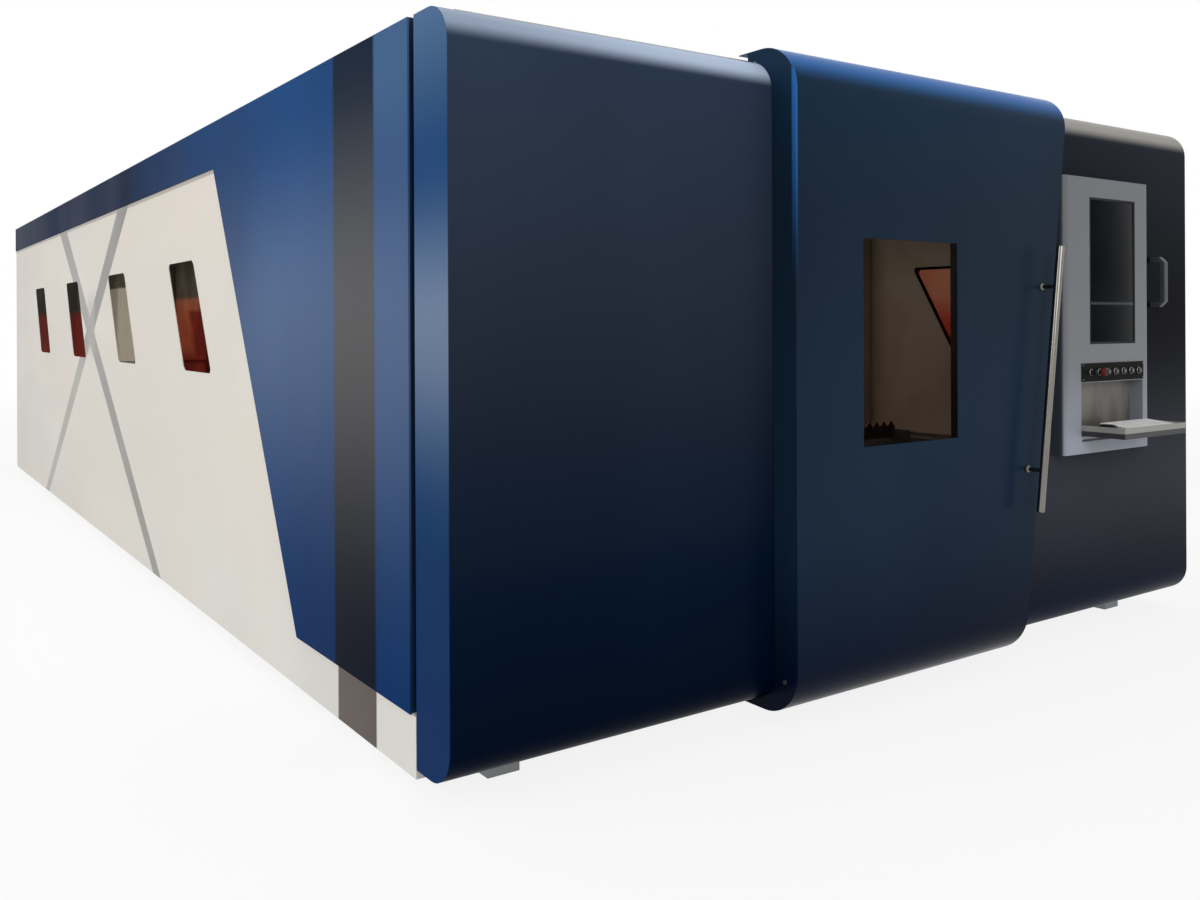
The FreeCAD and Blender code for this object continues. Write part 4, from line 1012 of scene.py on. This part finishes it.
def rear_screws():
    """Panel screws down both sides of the rear wall and along its top."""
    first_up, pitch, per_side, top_row = 0.16, 0.38, 6, 1.9
    low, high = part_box("rear_wall")
    across = high.x - low.x - 2 * panel_margin
    moves = two_rows((across, 0, 0), (0, 0, pitch), per_side)
    moves += [(across * share, 0, top_row) for share in (0.2, 0.4, 0.6, 0.8)]
    screws("rear_screws", (low.x + panel_margin, high.y, first_up), (0, 1, 0), panel_screw, moves)


def roof_screws():
    """Panel screws along both long edges of the roof."""
    first_back, pitch, per_side = 0.2, 0.52, 16
    low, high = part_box("roof_panels")
    across = high.x - low.x - 2 * panel_margin
    screws("roof_screws", (low.x + panel_margin, low.y + first_back, high.z), (0, 0, 1),
           panel_screw, two_rows((across, 0, 0), (0, pitch, 0), per_side))


def collar_fittings():
    """Rolled bead round the fume collar's rim, and the screws of its flange."""
    bead_radius, bead_thick, bead_drop, screw_inset = 0.2042, 0.005, 0.014, 0.022
    flange = 0.004
    low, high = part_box("fume_collar")
    centre = Vector(((low.x + high.x) / 2, (low.y + high.y) / 2, high.z - bead_drop))
    start_clean()
    bpy.ops.mesh.primitive_torus_add(location=centre, major_radius=bead_radius, minor_radius=bead_thick,
                                     major_segments=72, minor_segments=10)
    bead = bpy.context.object
    bpy.ops.object.transform_apply()
    pick(bead)
    bpy.ops.transform.resize(value=(1, 1, 1.5), center_override=centre)
    leave_edit_mode()
    across = high.x - low.x - 2 * screw_inset
    first = cap_screw("flange_screw", (low.x + screw_inset, low.y + screw_inset, low.z + flange),
                      (0, 0, 1), 0.006)
    parts = [bead] + copies(first, two_rows((0, across, 0), (across, 0, 0), 2))
    fitted(joined("collar_fittings", parts), galvanised, "machine")


def shutter_fittings():
    """Screws of the shutter's guides, and the two air ports of its lift cylinder."""
    screw_inset, screw_foot, screw_pitch, per_guide = 0.008, 0.06, 0.26, 4
    port_from_end = 0.03
    low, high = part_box("shutter_guides")
    across = 2 * screw_inset - high.x + low.x
    screws("guide_screws", (high.x - screw_inset, high.y, low.z + screw_foot), (0, 1, 0), 0.005,
           two_rows((across, 0, 0), (0, 0, screw_pitch), per_guide))
    low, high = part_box("shutter_cylinder")
    port = turned("air_ports", (high.x - 0.004, high.y - 0.027, low.z + port_from_end),
                  (1, 0, 0), [(0, 0.008), (0.008, 0.008), (0.008, 0.0095), (0.018, 0.0095),
                              (0.018, 0.006), (0.026, 0.0055)], 6)
    upper = (0, 0, high.z - low.z - 2 * port_from_end)
    fitted(joined("air_ports", copies(port, [upper])), ground_steel, "machine", angle=20)


# -------- cutting head pieces

def head_fittings():
    """Nozzle ring, glass drawer, couplings and fibre plug of the cutting head."""
    body_radius = 0.045
    ring_up, plug_drop = 0.05, 0.03
    drawer_half, drawer_foot, drawer_head, drawer_proud = 0.03, 0.085, 0.115, 0.01
    low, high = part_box("cutting_head")
    tip = low.z
    axis_x = 0.0
    axis_y = low.y + body_radius * cos(radians(22.5))    # the body has eight flats
    up = (0, 0, 1)
    ring = turned("nozzle_ring", (axis_x, axis_y, tip + ring_up), up, [
        (0, 0.0255), (0.002, 0.029), (0.012, 0.029), (0.014, 0.0262)], 40)
    fitted(ring, bright_steel, "head")
    front = low.y - drawer_proud
    drawer = block("glass_drawer", (axis_x - drawer_half, front, tip + drawer_foot),
                   (axis_x + drawer_half, low.y + 0.012, tip + drawer_head))
    soften(drawer, 0.003, 2, in_plane("Y", front))
    middle_up = tip + (drawer_foot + drawer_head) / 2
    pull = turned("drawer_pull", (axis_x, front + 0.001, middle_up), out_of_front, [
        (0, 0.005), (0.006, 0.005), (0.007, 0.01), (0.013, 0.01), (0.014, 0.009)], 20)
    fitted(joined("glass_drawer", [drawer, pull]), black_moulding, "head")
    couplings = [turned("head_couplings", (axis_x + 0.04, axis_y + 0.008, tip + rise),
                        (1, 0, 0), [(0, 0.008), (0.01, 0.008), (0.01, 0.0062),
                                    (0.022, 0.0062), (0.022, 0.0085), (0.034, 0.008)], 16)
                 for rise in (0.15, 0.26)]
    fitted(joined("head_couplings", couplings), bright_steel, "head")
    plug = turned("fibre_plug", (axis_x, axis_y, high.z - plug_drop), up, [
        (0, 0.0195), (0.018, 0.0195), (0.02, 0.0172), (0.028, 0.0172), (0.0295, 0.015)], 28)
    fitted(plug, black_moulding, "head")


monitor()
keyboard()
mouse_and_mat()
round_controls()
plate_screws()
handle_fittings()
door_bolt()
window_seals()
toothed_slats()
foot_nuts()
rear_screws()
roof_screws()
collar_fittings()
shutter_fittings()
head_fittings()


# -------- studio

def camera_at_the_corner():
    """The photograph's view, from the fit of its edges."""
    lens = bpy.data.cameras.new("camera")
    lens.lens = 32.88
    lens.sensor_width = 36
    lens.shift_y = -0.1064
    lens.clip_end = 400
    camera = bpy.data.objects.new("camera", lens)
    camera.location = (-3.282, -6.9415, 1.358)
    camera.rotation_euler = (radians(90), radians(0.257), radians(-34.78))
    bring_in(camera)
    bpy.context.scene.camera = camera


def seen_directly(tree):
    """1 for what is seen, also in a reflection or through a pane; 0 for light on pieces."""
    path = new_node(tree, "LightPath", {}).outputs
    total = path["Is Camera Ray"]
    for ray in ("Is Glossy Ray", "Is Transmission Ray"):
        node = new_node(tree, "Math", {0: total, 1: path[ray]})
        node.operation = "ADD"
        node.use_clamp = True
        total = node.outputs[0]
    return total


def pale_surroundings():
    """Soft grey light from all round, on a white background."""
    grey = 0.5
    world = bpy.data.worlds.new("pale_surroundings")
    world.use_nodes = True
    bpy.context.scene.world = world
    tree = world.node_tree
    soft = tree.nodes["Background"]
    put(tree, soft.inputs["Color"], (grey, grey * 1.01, grey * 1.03, 1))
    white = new_node(tree, "Background", {"Color": (1, 1, 1, 1)})
    mixed = new_node(tree, "MixShader", {0: seen_directly(tree), 1: soft.outputs[0], 2: white.outputs[0]})
    put(tree, tree.nodes["World Output"].inputs["Surface"], mixed.outputs[0])


def pale_floor():
    """Wide pale floor that fades into the white background."""
    fade_from, fade_to, white_share = 7, 18, 0.86
    bpy.ops.mesh.primitive_plane_add(size=240, location=(0, 0, 0))
    floor = bpy.context.object
    floor.name = "floor"
    material = bpy.data.materials.new("pale_floor")
    material.use_nodes = True
    tree = material.node_tree
    matt = tree.nodes["Principled BSDF"]
    matt.inputs["Base Color"].default_value = (0.9, 0.9, 0.9, 1)
    matt.inputs["Roughness"].default_value = 0.9
    matt.inputs["Specular IOR Level"].default_value = 0.0
    white = new_node(tree, "Emission", {})
    place = new_node(tree, "TexCoord", {}).outputs["Object"]
    length = new_node(tree, "VectorMath", {0: place})
    length.operation = "LENGTH"
    fade = new_node(tree, "MapRange", {
        "Value": length.outputs["Value"], "From Min": fade_from, "From Max": fade_to,
        "To Min": white_share, "To Max": 1.0})
    share = new_node(tree, "Math", {0: seen_directly(tree), 1: fade.outputs["Result"]})
    share.operation = "MULTIPLY"
    mixed = new_node(tree, "MixShader", {0: share.outputs[0], 1: matt.outputs[0], 2: white.outputs[0]})
    put(tree, tree.nodes["Material Output"].inputs["Surface"], mixed.outputs[0])
    floor.data.materials.append(material)


def soft_lamp(name, place, target, size, watts, shade=(1, 1, 1)):
    lamp = bpy.data.lights.new(name, "AREA")
    lamp.shape = "RECTANGLE"
    lamp.size, lamp.size_y = size
    lamp.energy = watts
    lamp.color = shade
    holder = bpy.data.objects.new(name, lamp)
    holder.location = place
    holder.rotation_euler = (Vector(target) - Vector(place)).to_track_quat("-Z", "Y").to_euler()
    bring_in(holder)


bpy.context.scene.view_settings.view_transform = "Standard"
camera_at_the_corner()
pale_surroundings()
pale_floor()
soft_lamp("side_lamp", (-11, -1.5, 5.5), (-1.9, 0.0, 1.0), size=(9, 4), watts=400)
soft_lamp("front_lamp", (-2.5, -12.5, 4.8), (0, -4.3, 1.0), size=(5, 4), watts=210)
soft_lamp("overhead_lamp", (0, 0.5, 9), (0, 0, 0), size=(8, 8), watts=260)
soft_lamp("chamber_lamp", (0.0, 0.2, 2.08), (0, 0.2, 0), size=(1.6, 7.6), watts=80,
          shade=(1.0, 0.95, 0.88))
